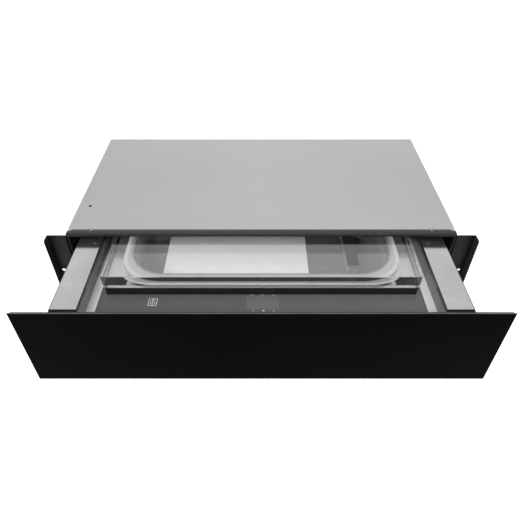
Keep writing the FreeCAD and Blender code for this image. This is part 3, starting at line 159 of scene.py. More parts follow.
# Domed screw head as radius and height, and its recess: height, and the bars' length, width and thickness
DOME = ((0.0038, 0.0), (0.0038, 0.0008), (0.0034, 0.0014), (0.0024, 0.00185), (0.0012, 0.002))
RECESS_HEIGHT = 0.00178
RECESS_BAR = (0.0036, 0.0008, 0.0004)

# Cap over the outlet: radius and height, and how far its middle lies behind the port's front
CAP = ((0.0034, 0.0), (0.0034, 0.0003), (0.003, 0.0006), (0.0016, 0.00075))
CAP_INSET = 0.005

# Steps of a quarter turn in a mark and in the long line of the seal, and of a full turn in a turned piece
MARK_STEPS = 5
LINE_STEPS = 10
TURNED_STEPS = 24

# Parts of a pattern's range over which a colour or number changes
WIDE = (0.25, 0.75)
WHOLE = (0.0, 1.0)

# Relief of a surface and radius of its softened edges
RELIEF = 0.0002
FINE_RELIEF = 0.0001
SOFT_EDGE = 0.0006
MOULDED_EDGE = 0.0005

# Scale of a pattern that is as long as it is wide
EVEN = (1.0, 1.0, 1.0)


def add_camera():
    """Looks down on the front of the half open drawer."""
    data = bpy.data.cameras.new("view")
    data.sensor_width = SENSOR
    data.lens = FOCAL_PIXELS / PICTURE * SENSOR
    data.shift_y = (HORIZON_PIXELS - PICTURE / 2) / PICTURE
    data.clip_start = CAMERA_NEAR
    camera = bpy.data.objects.new("view", data)
    camera.location = CAMERA_PLACE
    camera.rotation_euler = (math.pi / 2 - CAMERA_DIP, 0.0, 0.0)
    bpy.context.scene.collection.objects.link(camera)
    bpy.context.scene.camera = camera


# Materials

class Finish:
    """A material and short ways to add nodes to its tree."""

    def __init__(self, name, **sockets):
        self.material = bpy.data.materials.new(name)
        self.material.use_nodes = True
        self.tree = self.material.node_tree
        self.shader = self.tree.nodes["Principled BSDF"]
        self.output = self.tree.nodes["Material Output"]
        for socket, value in sockets.items():
            self.shader.inputs[socket.replace("_", " ")].default_value = value

    def add(self, kind, links=None, values=None, **settings):
        """A new node with its settings, plain input values and links."""
        node = self.tree.nodes.new(kind)
        for name, value in settings.items():
            setattr(node, name, value)
        for name, value in (values or {}).items():
            node.inputs[name].default_value = value
        for name, source in (links or {}).items():
            self.tree.links.new(source, node.inputs[name])
        return node

    def feed(self, socket, source):
        self.tree.links.new(source, self.shader.inputs[socket])

    def where(self):
        """Object coordinates."""
        return self.add("ShaderNodeTexCoord").outputs["Object"]

    def part(self, vector, axis):
        return self.add("ShaderNodeSeparateXYZ", {"Vector": vector}).outputs[axis]

    def calculate(self, operation, *sources):
        """A number worked out from one or two others."""
        return self.add("ShaderNodeMath", dict(enumerate(sources)), operation=operation).outputs[0]

    def stretched(self, stretch):
        """Object coordinates, squeezed along the axes where a pattern runs long."""
        return self.add("ShaderNodeMapping", {"Vector": self.where()}, {"Scale": stretch}).outputs["Vector"]

    def noise(self, scale, detail=3.0, roughness=0.5, stretch=EVEN, warp=0.0):
        values = {"Scale": scale, "Detail": detail, "Roughness": roughness, "Distortion": warp}
        return self.add("ShaderNodeTexNoise", {"Vector": self.stretched(stretch)}, values).outputs["Fac"]

    def clouds(self, scale):
        """Soft uneven areas of satin sheet."""
        return self.noise(scale, detail=4.0, roughness=0.55, warp=0.4)

    def patches(self, scale, stretch=EVEN):
        """Areas of uneven gloss."""
        return self.noise(scale, detail=4.0, roughness=0.6, stretch=stretch)

    def grain(self, stretch=EVEN):
        """Fine grain of satin sheet."""
        return self.noise(900.0, detail=2.0, roughness=0.6, stretch=stretch)

    def cells(self, scale):
        """A flat random grey for each cell, as on zinc plated sheet."""
        node = self.add("ShaderNodeTexVoronoi", {"Vector": self.stretched(EVEN)}, {"Scale": scale})
        return node.outputs["Color"]

    def blend(self, factor, first, second, start=0.3, stop=0.7):
        """A colour between two greys or colours, as the factor goes from start to stop."""
        ramp = self.add("ShaderNodeValToRGB", {"Fac": factor})
        ramp.color_ramp.elements[0].position = start
        ramp.color_ramp.elements[1].position = stop
        ramp.color_ramp.elements[0].color = spread(first)
        ramp.color_ramp.elements[1].color = spread(second)
        return ramp.outputs["Color"]

    def between(self, factor, low, high, start=0.3, stop=0.7):
        """A number from low to high, as the factor goes from start to stop."""
        values = {"From Min": start, "From Max": stop, "To Min": low, "To Max": high}
        return self.add("ShaderNodeMapRange", {"Value": factor}, values).outputs["Result"]

    def grey(self, dark, light, scale=40.0):
        """A nearly even grey."""
        return self.blend(self.noise(scale), dark, light)

    def layer(self, factor, below, above):
        """A colour that changes from below to above with a factor."""
        links = {"Factor": factor, "A": below, "B": above}
        return self.add("ShaderNodeMix", links, data_type="RGBA").outputs["Result"]

    def multiply(self, first, second):
        node = self.add("ShaderNodeMix", {"A": first, "B": second}, {"Factor": 1.0}, data_type="RGBA",
                        blend_type="MULTIPLY")
        return node.outputs["Result"]

    def along(self, axis, start, stop):
        """A ramp from zero to one between two places on an axis of the object's own frame."""
        return self.between(self.part(self.where(), axis), 0.0, 1.0, start, stop)

    def above(self, height, soft=0.0004):
        """One above a height of the object's own frame, and zero below it."""
        return self.along("Z", height - soft, height + soft)

    def aside(self):
        """The distance to either side of the middle plane."""
        return self.calculate("ABSOLUTE", self.part(self.where(), "X"))

    def beyond(self, line, reach):
        """A ramp from zero on a ring line to one at a distance outside of it."""
        half, front, back, radius = line
        middle = (0.0, (front + back) / 2 + FRONT_FACE, 0.0)
        corner = (half - radius, (back - front) / 2 - radius, 0.0)
        steps = (("SUBTRACT", {1: middle}), ("ABSOLUTE", None), ("SUBTRACT", {1: corner}),
                 ("MULTIPLY", {1: (1.0, 1.0, 0.0)}), ("MAXIMUM", {1: (0.0, 0.0, 0.0)}))
        place = self.where()
        for operation, values in steps:
            node = self.add("ShaderNodeVectorMath", {0: place}, values, operation=operation)
            place = node.outputs["Vector"]
        distance = self.add("ShaderNodeVectorMath", {0: place}, operation="LENGTH").outputs["Value"]
        return self.between(distance, 0.0, 1.0, radius, radius + reach)

    def bumps(self, height, strength, depth=RELIEF, edge=SOFT_EDGE):
        """Fine relief, on top of softened edges where a radius is given."""
        bump = self.add("ShaderNodeBump", {"Height": height}, {"Strength": strength, "Distance": depth})
        if edge:
            soft = self.add("ShaderNodeBevel", values={"Radius": edge}, samples=4)
            self.tree.links.new(soft.outputs["Normal"], bump.inputs["Normal"])
        self.feed("Normal", bump.outputs["Normal"])

    def satin(self, shade, grain, fleck, rough, relief, gloss=18.0):
        """Sheet with a fine grain: its shade, the grey of the flecks, the range of roughness, the relief."""
        flecks = self.blend(grain, fleck, 1.0, start=0.3, stop=0.6)
        self.feed("Base Color", self.multiply(shade, flecks))
        self.feed("Roughness", self.between(self.patches(gloss), *rough))
        self.bumps(grain, relief)

    def coat(self, colour, rough):
        """Powder coat: a fine orange peel over a colour."""
        self.feed("Base Color", colour)
        self.feed("Roughness", self.between(self.noise(25.0), rough - 0.05, rough + 0.07))
        self.bumps(self.noise(1400.0, detail=2.0), strength=0.12)


def spread(colour):
    """A grey given as one number, or a colour, with full opacity."""
    return (colour, colour, colour, 1.0) if isinstance(colour, float) else (*colour, 1.0)


def steel_finish(name, dark, light, rough, stretch, cloud):
    """Satin metal: soft clouds, faint blotches and a fine grain."""
    finish = Finish(name, Metallic=1.0)
    clouds = finish.blend(finish.clouds(cloud), dark, light, *WIDE)
    blotches = finish.blend(finish.noise(60.0, detail=5.0, roughness=0.6), 0.95, 1.0, start=0.35, stop=0.65)
    shade = finish.multiply(clouds, blotches)
    span = (rough - 0.05, rough + 0.06)
    finish.satin(shade, finish.grain(stretch), fleck=0.94, rough=span, relief=0.06)
    return finish.material


def cover_finish():
    """Satin top sheet, a little brighter along its middle as a painted highlight, with a fine grain from side
    to side.
    """
    finish = Finish("cover_steel", Metallic=1.0)
    clouds = finish.blend(finish.noise(3.5, stretch=(0.6, 1.4, 1.0), warp=0.3), 0.485, 0.525, *WIDE)
    # Painted highlight: two ramps that meet in the middle make the cover brighter there
    left = finish.along("X", -COVER_PAINTED_SHEEN, 0.0)
    right = finish.along("X", COVER_PAINTED_SHEEN, 0.0)
    painted_sheen = finish.blend(finish.calculate("MULTIPLY", left, right), 0.92, 1.0, *WHOLE)
    shade = finish.multiply(clouds, painted_sheen)
    grain = finish.grain((0.12, 1.0, 1.0))
    finish.satin(shade, grain, fleck=0.95, rough=(0.32, 0.4), relief=0.05, gloss=12.0)
    return finish.material


def rail_finish():
    """Satin rails: pale on top, with painted light and shade: a ledge painted paler as lit, a darker inner
    wall painted as shade between them, and an outer bend painted dark as a reflection.
    """
    finish = Finish("rail_steel")
    clouds = finish.clouds(17.0)
    top = finish.blend(clouds, 0.43, 0.55)
    # Painted shade: the inner wall is darker than the top
    wall = finish.blend(clouds, 0.15, 0.19, *WIDE)
    # Painted light: the ledge is paler than the top
    ledge = finish.blend(clouds, 0.74, 0.8, *WIDE)
    # Painted reflection: the outer bend is dark as if mirroring dark surroundings
    bend = finish.blend(clouds, 0.03, 0.04, *WIDE)
    past_ledge = finish.above(LEDGE_TOP + LEDGE_RISE)
    past_wall = finish.above(RAIL_TOP - TOP_SHEET)
    side = RAIL_SIDE - OUTER_BEND
    past_side = finish.between(finish.aside(), 0.0, 1.0, side - BEND_SOFT, side + BEND_SOFT)
    inside = finish.layer(past_wall, finish.layer(past_ledge, ledge, wall), top)
    shade = finish.layer(past_side, inside, bend)
    finish.feed("Metallic", finish.between(past_ledge, 0.3, 0.95, *WHOLE))
    finish.satin(shade, finish.grain((1.0, 0.15, 1.0)), fleck=0.94, rough=(0.14, 0.19), relief=0.06)
    return finish.material


def chamber_finish():
    """Pressed steel: brushed flange, and a duller tub with long streaks. The tub is painted dark as shade,
    paler towards its rim as painted light, and the rim paler than the flange as a painted reflection.
    """
    finish = Finish("deck_steel")
    clouds = finish.clouds(12.0)
    flange = finish.blend(clouds, 0.46, 0.51, *WIDE)
    # Painted shade: the tub is far darker than the flange
    tub = finish.blend(clouds, 0.2, 0.23, *WIDE)
    # Painted light and reflection: the rounded rim is paler than the flange
    rim = finish.blend(clouds, 0.62, 0.68, *WIDE)
    streaks = finish.noise(34.0, detail=2.0, stretch=(1.0, 0.04, 1.0))
    streaked = finish.multiply(tub, finish.blend(streaks, 0.84, 1.0, start=0.4, stop=0.6))
    # Painted light and shade: the wall grows paler from the floor up to the rim
    rise = finish.along("Z", TUB_FLOOR + FLOOR_ROUND, RIM_FOOT)
    wall = finish.layer(rise, streaked, rim)
    shade = finish.layer(finish.above(FLANGE_TOP - RIM_DROP, soft=0.0001), wall, flange)
    finish.feed("Metallic", finish.between(finish.above(RIM_FOOT, soft=0.0015), 0.5, 0.85, *WHOLE))
    finish.satin(shade, finish.grain(), fleck=0.95, rough=(0.2, 0.28), relief=0.05)
    return finish.material


def zinc_finish():
    """Zinc plated sheet with its pale crystal pattern."""
    finish = Finish("zinc_steel", Metallic=1.0)
    crystals = finish.cells(150.0)
    shade = finish.blend(crystals, 0.45, 0.58, start=0.1, stop=0.9)
    finish.feed("Base Color", finish.multiply(shade, finish.grey(0.88, 1.0, scale=9.0)))
    finish.feed("Roughness", finish.between(crystals, 0.32, 0.5, *WHOLE))
    finish.bumps(finish.noise(500.0), strength=0.08)
    return finish.material


def plated_finish(name, grey, rough):
    """Plated steel of slides, pins and screws, with faint draw lines."""
    finish = Finish(name, Metallic=1.0)
    lines = finish.noise(300.0, stretch=(1.0, 0.03, 1.0))
    finish.feed("Base Color", finish.blend(lines, grey * 0.88, grey))
    finish.feed("Roughness", finish.between(finish.noise(120.0), rough - 0.06, rough + 0.08))
    finish.bumps(lines, strength=0.1, edge=0.0003)
    return finish.material


def paint_finish(name, dark, light, rough, gloss=0.5):
    """Powder coat in a nearly even grey."""
    finish = Finish(name, Specular_IOR_Level=gloss)
    finish.coat(finish.grey(dark, light), rough)
    return finish.material


def carrier_finish():
    """Dark coat of the carrier behind the glass, paler between the rails, and darker before their ends as
    painted shade.
    """
    finish = Finish("carrier_paint", Specular_IOR_Level=0.2)
    middle = finish.grey(0.05, 0.062)
    # Painted shade: near black where the carrier lies before the rails' front ends
    shaded_end = finish.grey(0.004, 0.006)
    past_wall = finish.between(finish.aside(), 0.0, 1.0, INNER_WALL, INNER_WALL + WALL_SOFT)
    finish.coat(finish.layer(past_wall, middle, shaded_end), rough=0.4)
    return finish.material


def flange_finish():
    """Black powder coat, a little paler on the lip that is bent forward, as painted light on its sideways
    face.
    """
    finish = Finish("flange_paint", Specular_IOR_Level=0.15)
    facing = finish.add("ShaderNodeNewGeometry").outputs["True Normal"]
    sideways = finish.calculate("ABSOLUTE", finish.part(facing, "X"))
    face = finish.grey(0.004, 0.007)
    # Painted light: faces turned sideways, as the lip, get a paler grey than faces turned to the front
    lip = finish.grey(0.03, 0.036)
    finish.coat(finish.layer(sideways, face, lip), rough=0.4)
    return finish.material


def nose_finish():
    """Dark strip with a crown painted paler as a reflection, the cover's sheet lapped over its ends, and two
    bright dots.
    """
    finish = Finish("nose_paint", Specular_IOR_Level=0.3)
    face = finish.grey(0.008, 0.01)
    # Painted reflection: the crown is paler than the front face
    crown = finish.grey(0.052, 0.06)
    sheet = finish.grey(0.44, 0.48)
    pale = finish.grey(0.7, 0.76)
    strip = finish.layer(finish.along("Y", NOSE_FRONT + NOSE_FACE, NOSE_BACK), face, crown)
    depth = finish.part(finish.where(), "Y")
    lean = finish.add("ShaderNodeMath", {0: finish.aside()}, {1: LAP_SLANT, 2: -LAP_SLANT * LAP_SIDE},
                      operation="MULTIPLY_ADD").outputs[0]
    lap = finish.between(finish.calculate("ADD", lean, depth), 0.0, 1.0, NOSE_BACK, NOSE_BACK + LAP_SOFT)
    place = finish.add("ShaderNodeCombineXYZ", {"X": finish.aside(), "Y": depth}).outputs["Vector"]
    away = finish.add("ShaderNodeVectorMath", {0: place}, {1: (DOT_SIDE, DOT_DEPTH + FRONT_FACE, 0.0)},
                      operation="DISTANCE").outputs["Value"]
    dots = finish.between(away, 1.0, 0.0, DOT_RADIUS, DOT_RADIUS + DOT_SOFT)
    finish.coat(finish.layer(dots, finish.layer(lap, strip, sheet), pale), rough=0.39)
    return finish.material


def plastic_finish(name, dark, light, rough, grain=900.0, gloss=0.5):
    """Moulded plastic with a fine spark-eroded grain."""
    finish = Finish(name, Specular_IOR_Level=gloss)
    finish.feed("Base Color", finish.grey(dark, light, scale=55.0))
    finish.feed("Roughness", finish.between(finish.noise(grain), rough - 0.04, rough + 0.08))
    finish.bumps(finish.noise(grain, detail=2.0), strength=0.15, depth=FINE_RELIEF, edge=MOULDED_EDGE)
    return finish.material


def rubber_finish(name, dark, light):
    """Dull dark rubber or silicone."""
    finish = Finish(name)
    finish.feed("Base Color", finish.grey(dark, light, scale=70.0))
    finish.feed("Roughness", finish.between(finish.noise(200.0), 0.55, 0.7))
    finish.bumps(finish.noise(1100.0), strength=0.1, edge=MOULDED_EDGE)
    return finish.material


def black_glass_finish():
    """Back-painted front glass: very dark, with faint wipe marks in its gloss and a paler ground top edge,
    partly its grind and partly a painted highlight.
    """
    finish = Finish("black_glass", IOR=1.1, Specular_IOR_Level=0.1)
    face = finish.grey(0.001, 0.002, scale=6.0)
    # Partly painted highlight: the ground top edge is paler than the face
    ground = finish.grey(0.09, 0.15, scale=25.0)
    past_face = finish.above(PANEL_TOP - GROUND_EDGE, soft=0.0001)
    finish.feed("Base Color", finish.layer(past_face, face, ground))
    finish.feed("Roughness", finish.between(finish.patches(14.0, (1.0, 1.0, 2.5)), 0.05, 0.16))
    finish.bumps(finish.noise(30.0), strength=0.01, depth=FINE_RELIEF, edge=0.0007)
    return finish.material


def control_glass_finish():
    """Smoked glass of the touch strip, a little paler to the right as painted light."""
    finish = Finish("control_glass", Specular_IOR_Level=0.3)
    # Painted light: the right is paler than the left, as a broad reflection makes it
    left = finish.grey(0.078, 0.088, scale=8.0)
    right = finish.grey(0.104, 0.114, scale=8.0)
    finish.feed("Base Color", finish.layer(finish.along("X", -STRIP_PAINTED_LIGHT_REACH, STRIP_PAINTED_LIGHT_REACH), left, right))
    finish.feed("Roughness", finish.between(finish.patches(16.0), 0.3, 0.42))
    finish.bumps(finish.noise(40.0), strength=0.01, depth=FINE_RELIEF, edge=MOULDED_EDGE)
    return finish.material


def slab_finish():
    """Clear coated slab with faintly hazy edges: it bends and mirrors what is seen, and lets light pass."""
    finish = Finish("clear_slab", Transmission_Weight=1.0, IOR=1.49, Roughness=0.0,
                    Coat_Weight=1.0, Coat_IOR=1.7, Coat_Roughness=0.0)
    duller = tuple(0.985 * share for share in SLAB_TINT)
    finish.feed("Base Color", finish.blend(finish.noise(5.0), duller, SLAB_TINT))
    finish.bumps(finish.noise(9.0), strength=0.004, depth=FINE_RELIEF)
    facing = finish.add("ShaderNodeNewGeometry").outputs["Normal"]
    upright = finish.calculate("ABSOLUTE", finish.part(facing, "Z"))
    share = finish.between(upright, EDGE_HAZE, 0.0, start=0.2, stop=0.8)
    haze = finish.add("ShaderNodeBsdfDiffuse", values={"Color": spread(0.8)}).outputs[0]
    edges = finish.add("ShaderNodeMixShader", {0: share, 1: finish.shader.outputs[0], 2: haze}).outputs[0]
    path = finish.add("ShaderNodeLightPath").outputs
    passing = finish.calculate("MAXIMUM", path["Is Shadow Ray"], path["Is Diffuse Ray"])
    clear = finish.add("ShaderNodeBsdfTransparent", values={"Color": spread(SLAB_TINT)}).outputs[0]
    surface = finish.add("ShaderNodeMixShader", {0: passing, 1: edges, 2: clear}).outputs[0]
    finish.tree.links.new(surface, finish.output.inputs["Surface"])
    depth = finish.add("ShaderNodeVolumeAbsorption",
                       values={"Color": spread(SLAB_DEPTH_TINT), "Density": 1.0}).outputs[0]
    finish.tree.links.new(depth, finish.output.inputs["Volume"])
    return finish.material


def silicone_finish(name, dark, light, steel=0.0):
    """Pale, slightly milky silicone. A thin lip is partly metallic, and its grey fades darker towards its
    inner edge.
    """
    finish = Finish(name, Subsurface_Weight=0.25, Subsurface_Scale=0.003, Specular_IOR_Level=0.3,
                    Metallic=steel)
    colour = finish.grey(dark, light, scale=50.0)
    if steel:
        thin = finish.grey(LIP_THIN * dark, LIP_THIN * light, scale=50.0)
        colour = finish.layer(finish.beyond(LIP_EDGE, LIP_FADE), thin, colour)
    finish.feed("Base Color", colour)
    finish.feed("Roughness", finish.between(finish.noise(90.0), 0.28, 0.42))
    finish.bumps(finish.noise(700.0), strength=0.06, edge=None)
    return finish.material


def board_finish():
    """Circuit board lacquer with paler tracks."""
    finish = Finish("board")
    colours = {"Color1": (0.02, 0.13, 0.06), "Color2": (0.025, 0.16, 0.07), "Mortar": (0.08, 0.3, 0.14)}
    values = {name: spread(colour) for name, colour in colours.items()}
    values.update({"Scale": 60.0, "Mortar Size": 0.03})
    tracks = finish.add("ShaderNodeTexBrick", {"Vector": finish.stretched(EVEN)}, values)
    finish.feed("Base Color", tracks.outputs["Color"])
    finish.feed("Roughness", finish.between(finish.noise(80.0), 0.3, 0.45))
    return finish.material


def print_finish(name, grey):
    """Printed mark, with a little unevenness."""
    finish = Finish(name, Roughness=0.4)
    finish.feed("Base Color", finish.grey(grey * 0.85, grey, scale=600.0))
    return finish.material


# Every finish, made once. The numbers after a name are its darkest and its lightest grey, or its only one
FINISHES = {
    "cover_steel": cover_finish(),
    "rail_steel": rail_finish(),
    "deck_steel": chamber_finish(),
    "bracket_steel": steel_finish("bracket_steel", 0.5, 0.56, rough=0.3, stretch=(0.2, 1.0, 1.0), cloud=14.0),
    "zinc_steel": zinc_finish(),
    "plated_steel": plated_finish("plated_steel", 0.55, rough=0.3),
    "screw_steel": plated_finish("screw_steel", 0.6, rough=0.25),
    "cast_metal": steel_finish("cast_metal", 0.42, 0.5, rough=0.5, stretch=EVEN, cloud=30.0),
    "bar_metal": steel_finish("bar_metal", 0.52, 0.58, rough=0.4, stretch=(1.0, 0.2, 1.0), cloud=20.0),
    "flange_paint": flange_finish(),
    "skirt_paint": paint_finish("skirt_paint", 0.01, 0.013, rough=0.32, gloss=0.35),
    "nose_paint": nose_finish(),
    "carrier_paint": carrier_finish(),
    "grey_paint": paint_finish("grey_paint", 0.06, 0.08, rough=0.45),
    "black_plastic": plastic_finish("black_plastic", 0.012, 0.018, rough=0.45),
    # The rail's end blocks: black plastic, given a still darker grey as painted shade on their front-facing
    # ends
    "shaded_block_plastic": plastic_finish("shaded_block_plastic", 0.003, 0.005, rough=0.5, gloss=0.15),
    "grey_plastic": plastic_finish("grey_plastic", 0.24, 0.28, rough=0.45),
    "white_plastic": plastic_finish("white_plastic", 0.84, 0.88, rough=0.35, grain=500.0),
    "black_rubber": rubber_finish("black_rubber", 0.012, 0.02),
    "bar_cover": plastic_finish("bar_cover", 0.05, 0.065, rough=0.4, grain=1400.0),
    "strip_silicone": rubber_finish("strip_silicone", 0.008, 0.012),
    "seal_silicone": silicone_finish("seal_silicone", 0.48, 0.53),
    "lip_silicone": silicone_finish("lip_silicone", 0.4, 0.44, steel=0.4),
    "board": board_finish(),
    "display": plastic_finish("display", 0.02, 0.03, rough=0.2),
    "black_glass": black_glass_finish(),
    "control_glass": control_glass_finish(),
    "clear_slab": slab_finish(),
    "print": print_finish("print", 0.66),
    "mark_print": print_finish("mark_print", 0.33),
    "faint_print": print_finish("faint_print", 0.1),
    "window": print_finish("window", 0.125),
}

# The finish of each node, by the start of its name
FINISH_OF = {
    "front_glass": "black_glass",
    "front_carrier": "carrier_paint",
    "front_bumpers": "black_rubber",
    "rail_end_block": "shaded_block_plastic",
    "housing_shell": "zinc_steel",
    "housing_top_cover": "cover_steel",
    "housing_nose": "nose_paint",
    "housing_rear_panel": "zinc_steel",
    "housing_feet": "black_rubber",
    "housing_screws": "screw_steel",
    "mains_gland": "black_plastic",
    "latch_body": "grey_plastic",
    "latch_plunger": "white_plastic",
    "mounting_flange": "flange_paint",
    "slide_": "plated_steel",
    "outer_ball_cages": "plated_steel",
    "inner_ball_cages": "plated_steel",
    "side_cover": "rail_steel",
    "drawer_chassis": "zinc_steel",
    "deck_plate": "zinc_steel",
    "deck_skirt": "skirt_paint",
    "vacuum_chamber": "deck_steel",
    "seal_ring": "lip_silicone",
    "lid_glass": "clear_slab",
    "counter_strip": "strip_silicone",
    "hinge_bracket": "bracket_steel",
    "hinge_bases": "zinc_steel",
    "hinge_pins": "screw_steel",
    "sealing_bar": "bar_metal",
    "bar_tape": "bar_cover",
    "bar_pins": "grey_paint",
    "bar_lift_cylinders": "cast_metal",
    "insert_plate": "white_plastic",
    "control_glass": "control_glass",
    "control_tray": "black_plastic",
    "touch_board": "board",
    "display_module": "display",
    "pump_motor_housing": "grey_paint",
    "pump_rotor": "plated_steel",
    "pump_head": "cast_metal",
    "pump_bracket": "zinc_steel",
    "pump_mounts": "black_rubber",
    "chamber_port": "cast_metal",
    "vacuum_hose": "black_rubber",
    "vent_valve": "grey_plastic",
    "power_board": "board",
    "board_spacers": "white_plastic",
    "sealing_transformer": "grey_paint",
    "fan_frame": "black_plastic",
    "fan_rotor": "black_plastic",
}


def dress(thing, finish):
    """Gives an object one finish in every slot."""
    material = FINISHES[finish]
    if not thing.material_slots:
        thing.data.materials.append(material)
    for slot in thing.material_slots:
        slot.material = material


def dress_nodes():
    """Gives each node the finish of the longest start that fits its name."""
    for name, thing in nodes.items():
        key = max((start for start in FINISH_OF if name.startswith(start)), key=len)
        dress(thing, FINISH_OF[key])


# Pieces added on top of the solids

def new_piece(name, build, body, finish):
    """An object from a mesh that a function builds, riding a body."""
    mesh = bpy.data.meshes.new(name)
    work = bmesh.new()
    build(work)
    bmesh.ops.recalc_face_normals(work, faces=work.faces)
    work.to_mesh(mesh)
    work.free()
    thing = bpy.data.objects.new(name, mesh)
    bpy.context.scene.collection.objects.link(thing)
    dress(thing, finish)
    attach(thing, body)
    return thing


def join_rings(work, first, second):
    """Faces between two rings with the same number of points."""
    for index in range(len(first)):
        after = (index + 1) % len(first)
        work.faces.new((first[index], first[after], second[after], second[index]))


def prism(work, outline, low, high):
    """A solid over a closed outline."""
    bottom = [work.verts.new((x, y, low)) for x, y in outline]
    top = [work.verts.new((x, y, high)) for x, y in outline]
    work.faces.new(bottom)
    work.faces.new(top)
    join_rings(work, bottom, top)


def loop_band(work, outer, inner, low, high):
    """A flat ring between two outlines with the same number of points."""
    rings = [[work.verts.new((x, y, z)) for x, y in line] for line in (outer, inner) for z in (low, high)]
    outer_low, outer_high, inner_low, inner_high = rings
    for first, second in ((outer_low, outer_high), (outer_high, inner_high), (inner_high, inner_low),
                          (inner_low, outer_low)):
        join_rings(work, first, second)


def lathe(work, profile, place, axis):
    """A turned shape: profile is a list of radius and height pairs along the axis."""
    turn = Vector((0, 0, 1)).rotation_difference(axis).to_matrix()
    angles = [2 * math.pi * step / TURNED_STEPS for step in range(TURNED_STEPS)]
    rings = []
    for radius, height in profile:
        ring = [(radius * math.cos(angle), radius * math.sin(angle), height) for angle in angles]
        rings.append([work.verts.new(place + turn @ Vector(point)) for point in ring])
    for first, second in zip(rings, rings[1:]):
        join_rings(work, first, second)
    work.faces.new(rings[0])
    work.faces.new(rings[-1])


def cross_slot(work, place, axis):
    """Two thin crossed bars that read as a driver's recess."""
    length, width, thick = RECESS_BAR
    turn = Vector((0, 0, 1)).rotation_difference(axis).to_matrix()
    for along, across in ((length, width), (width, length)):
        made = bmesh.ops.create_cube(work, size=1.0)
        shape = Matrix.Diagonal((along, across, thick, 1.0))
        bmesh.ops.transform(work, matrix=Matrix.Translation(place) @ turn.to_4x4() @ shape,
                            verts=made["verts"])


def round_corners(width, height, radius, steps=MARK_STEPS):
    """Outline of a rectangle with round corners round the origin."""
    points = []
    for turn in range(4):
        across = (width / 2 - radius) * (1 if turn in (0, 3) else -1)
        along = (height / 2 - radius) * (1 if turn in (0, 1) else -1)
        for step in range(steps + 1):
            angle = math.pi / 2 * (turn + step / steps)
            points.append((across + radius * math.cos(angle), along + radius * math.sin(angle)))
    return points


def shifted(outline, x, y):
    return [(x + a, y + b) for a, b in outline]


def mark(outline, place):
    """An outline at a place of the touch strip, given as sideways distance and depth."""
    x, depth = place
    return shifted(outline, x, FRONT_FACE + depth)


def disc(width):
    return round_corners(width, width, width / DISC_PART)


def printed(name, shapes, finish):
    """Printed marks on the touch strip: each shape is a list of outlines, a pair makes a ring."""
    top = LEDGE_TOP + FACE_GAP

    def build(work):
        for shape in shapes:
            if len(shape) == 2:
                loop_band(work, *shape, top, top + PRINT_THICK)
            else:
                prism(work, *shape, top, top + PRINT_THICK)

    new_piece(name, build, "drawer", finish)


def icon_marks():
    """Bag icon at the left and an arrow below the display window."""
    frame_ring = [mark(round_corners(*size), ICON_PLACE) for size in ICON_FRAME]
    flap = [mark(ICON_FLAP, ICON_PLACE)]
    lens = [mark(disc(width), LENS_PLACE) for width in LENS_WIDTHS]
    stem = [mark(round_corners(*STEM), LENS_PLACE)]
    arrow = [mark(ARROW, ARROW_PLACE)]
    printed("icon_marks", [frame_ring, flap, lens, stem, arrow], "print")


def key_marks():
    """Faint keys between the icon and the display window."""
    keys = [[mark(round_corners(*size), (x, KEY_DEPTH))] for x, size in KEYS.items()]
    printed("key_marks", keys, "faint_print")


def small_marks():
    """Dashes above the display window, a ring and a point below it."""
    marks = [[mark(round_corners(*DASH), (x, DASH_DEPTH))] for x in DASH_SIDES]
    marks.append([mark(disc(width), RING_PLACE) for width in RING_WIDTHS])
    marks.append([mark(round_corners(*POINT), POINT_PLACE)])
    printed("small_marks", marks, "mark_print")


def display_window():
    printed("display_window", [[mark(round_corners(*WINDOW), WINDOW_PLACE)]], "window")


def screw_heads():
    """Domed heads with a cross recess over the plain heads of the housing's screws."""
    heads = []
    for sign in (-1.0, 1.0):
        for depth, sheet in SCREW_SEATS:
            for height in SCREW_HEIGHTS:
                foot = Vector((sign * (HOUSING_SIDE + sheet), depth + FRONT_FACE, height))
                heads.append((foot, Vector((sign, 0, 0))))

    def build_heads(work):
        for foot, axis in heads:
            lathe(work, DOME, foot, axis)

    def build_slots(work):
        for foot, axis in heads:
            cross_slot(work, foot + axis * RECESS_HEIGHT, axis)

    domes = new_piece("screw_domes", build_heads, "housing", "screw_steel")
    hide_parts("housing_screws")
    new_piece("screw_recesses", build_slots, "housing", "black_plastic")


def ring_line(half, front, back, radius):
    """A rectangle with round corners, from its half width, front and back depth and corner radius."""
    middle = (front + back) / 2 + FRONT_FACE
    return shifted(round_corners(2 * half, back - front, radius, LINE_STEPS), 0.0, middle)


def pressed_band(name, outer, inner, finish):
    """A band of silicone between two lines, pressed against the underside of the slab."""
    def build(work):
        loop_band(work, ring_line(*outer), ring_line(*inner), SLAB_UNDER - CONTACT_SINK,
                  SLAB_UNDER + CONTACT_PRESS)

    new_piece(name, build, "drawer", finish)


def seal_contact():
    """The crest of the seal, and its thinner inner lip, which reaches to the chamber's rim."""
    half, front, back, radius = SEAL_LINE
    crest = [(half + side, front - side, back + side, radius + side)
             for side in (SEAL_CREST / 2, -SEAL_CREST / 2)]
    pressed_band("seal_crest", *crest, "seal_silicone")
    pressed_band("seal_lip", crest[1], LIP_EDGE, "lip_silicone")


def strip_face():
    """The top of the counter strip, pressed against the slab so that no air shows between them."""
    low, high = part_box("counter_strip")
    middle = (low[0] + high[0]) / 2, (low[1] + high[1]) / 2
    outline = shifted(round_corners(high[0] - low[0], high[1] - low[1], STRIP_CORNER), *middle)

    def build(work):
        prism(work, outline, high[2] - CONTACT_SINK, high[2] + CONTACT_PRESS)

    new_piece("strip_face", build, "lid", "strip_silicone")


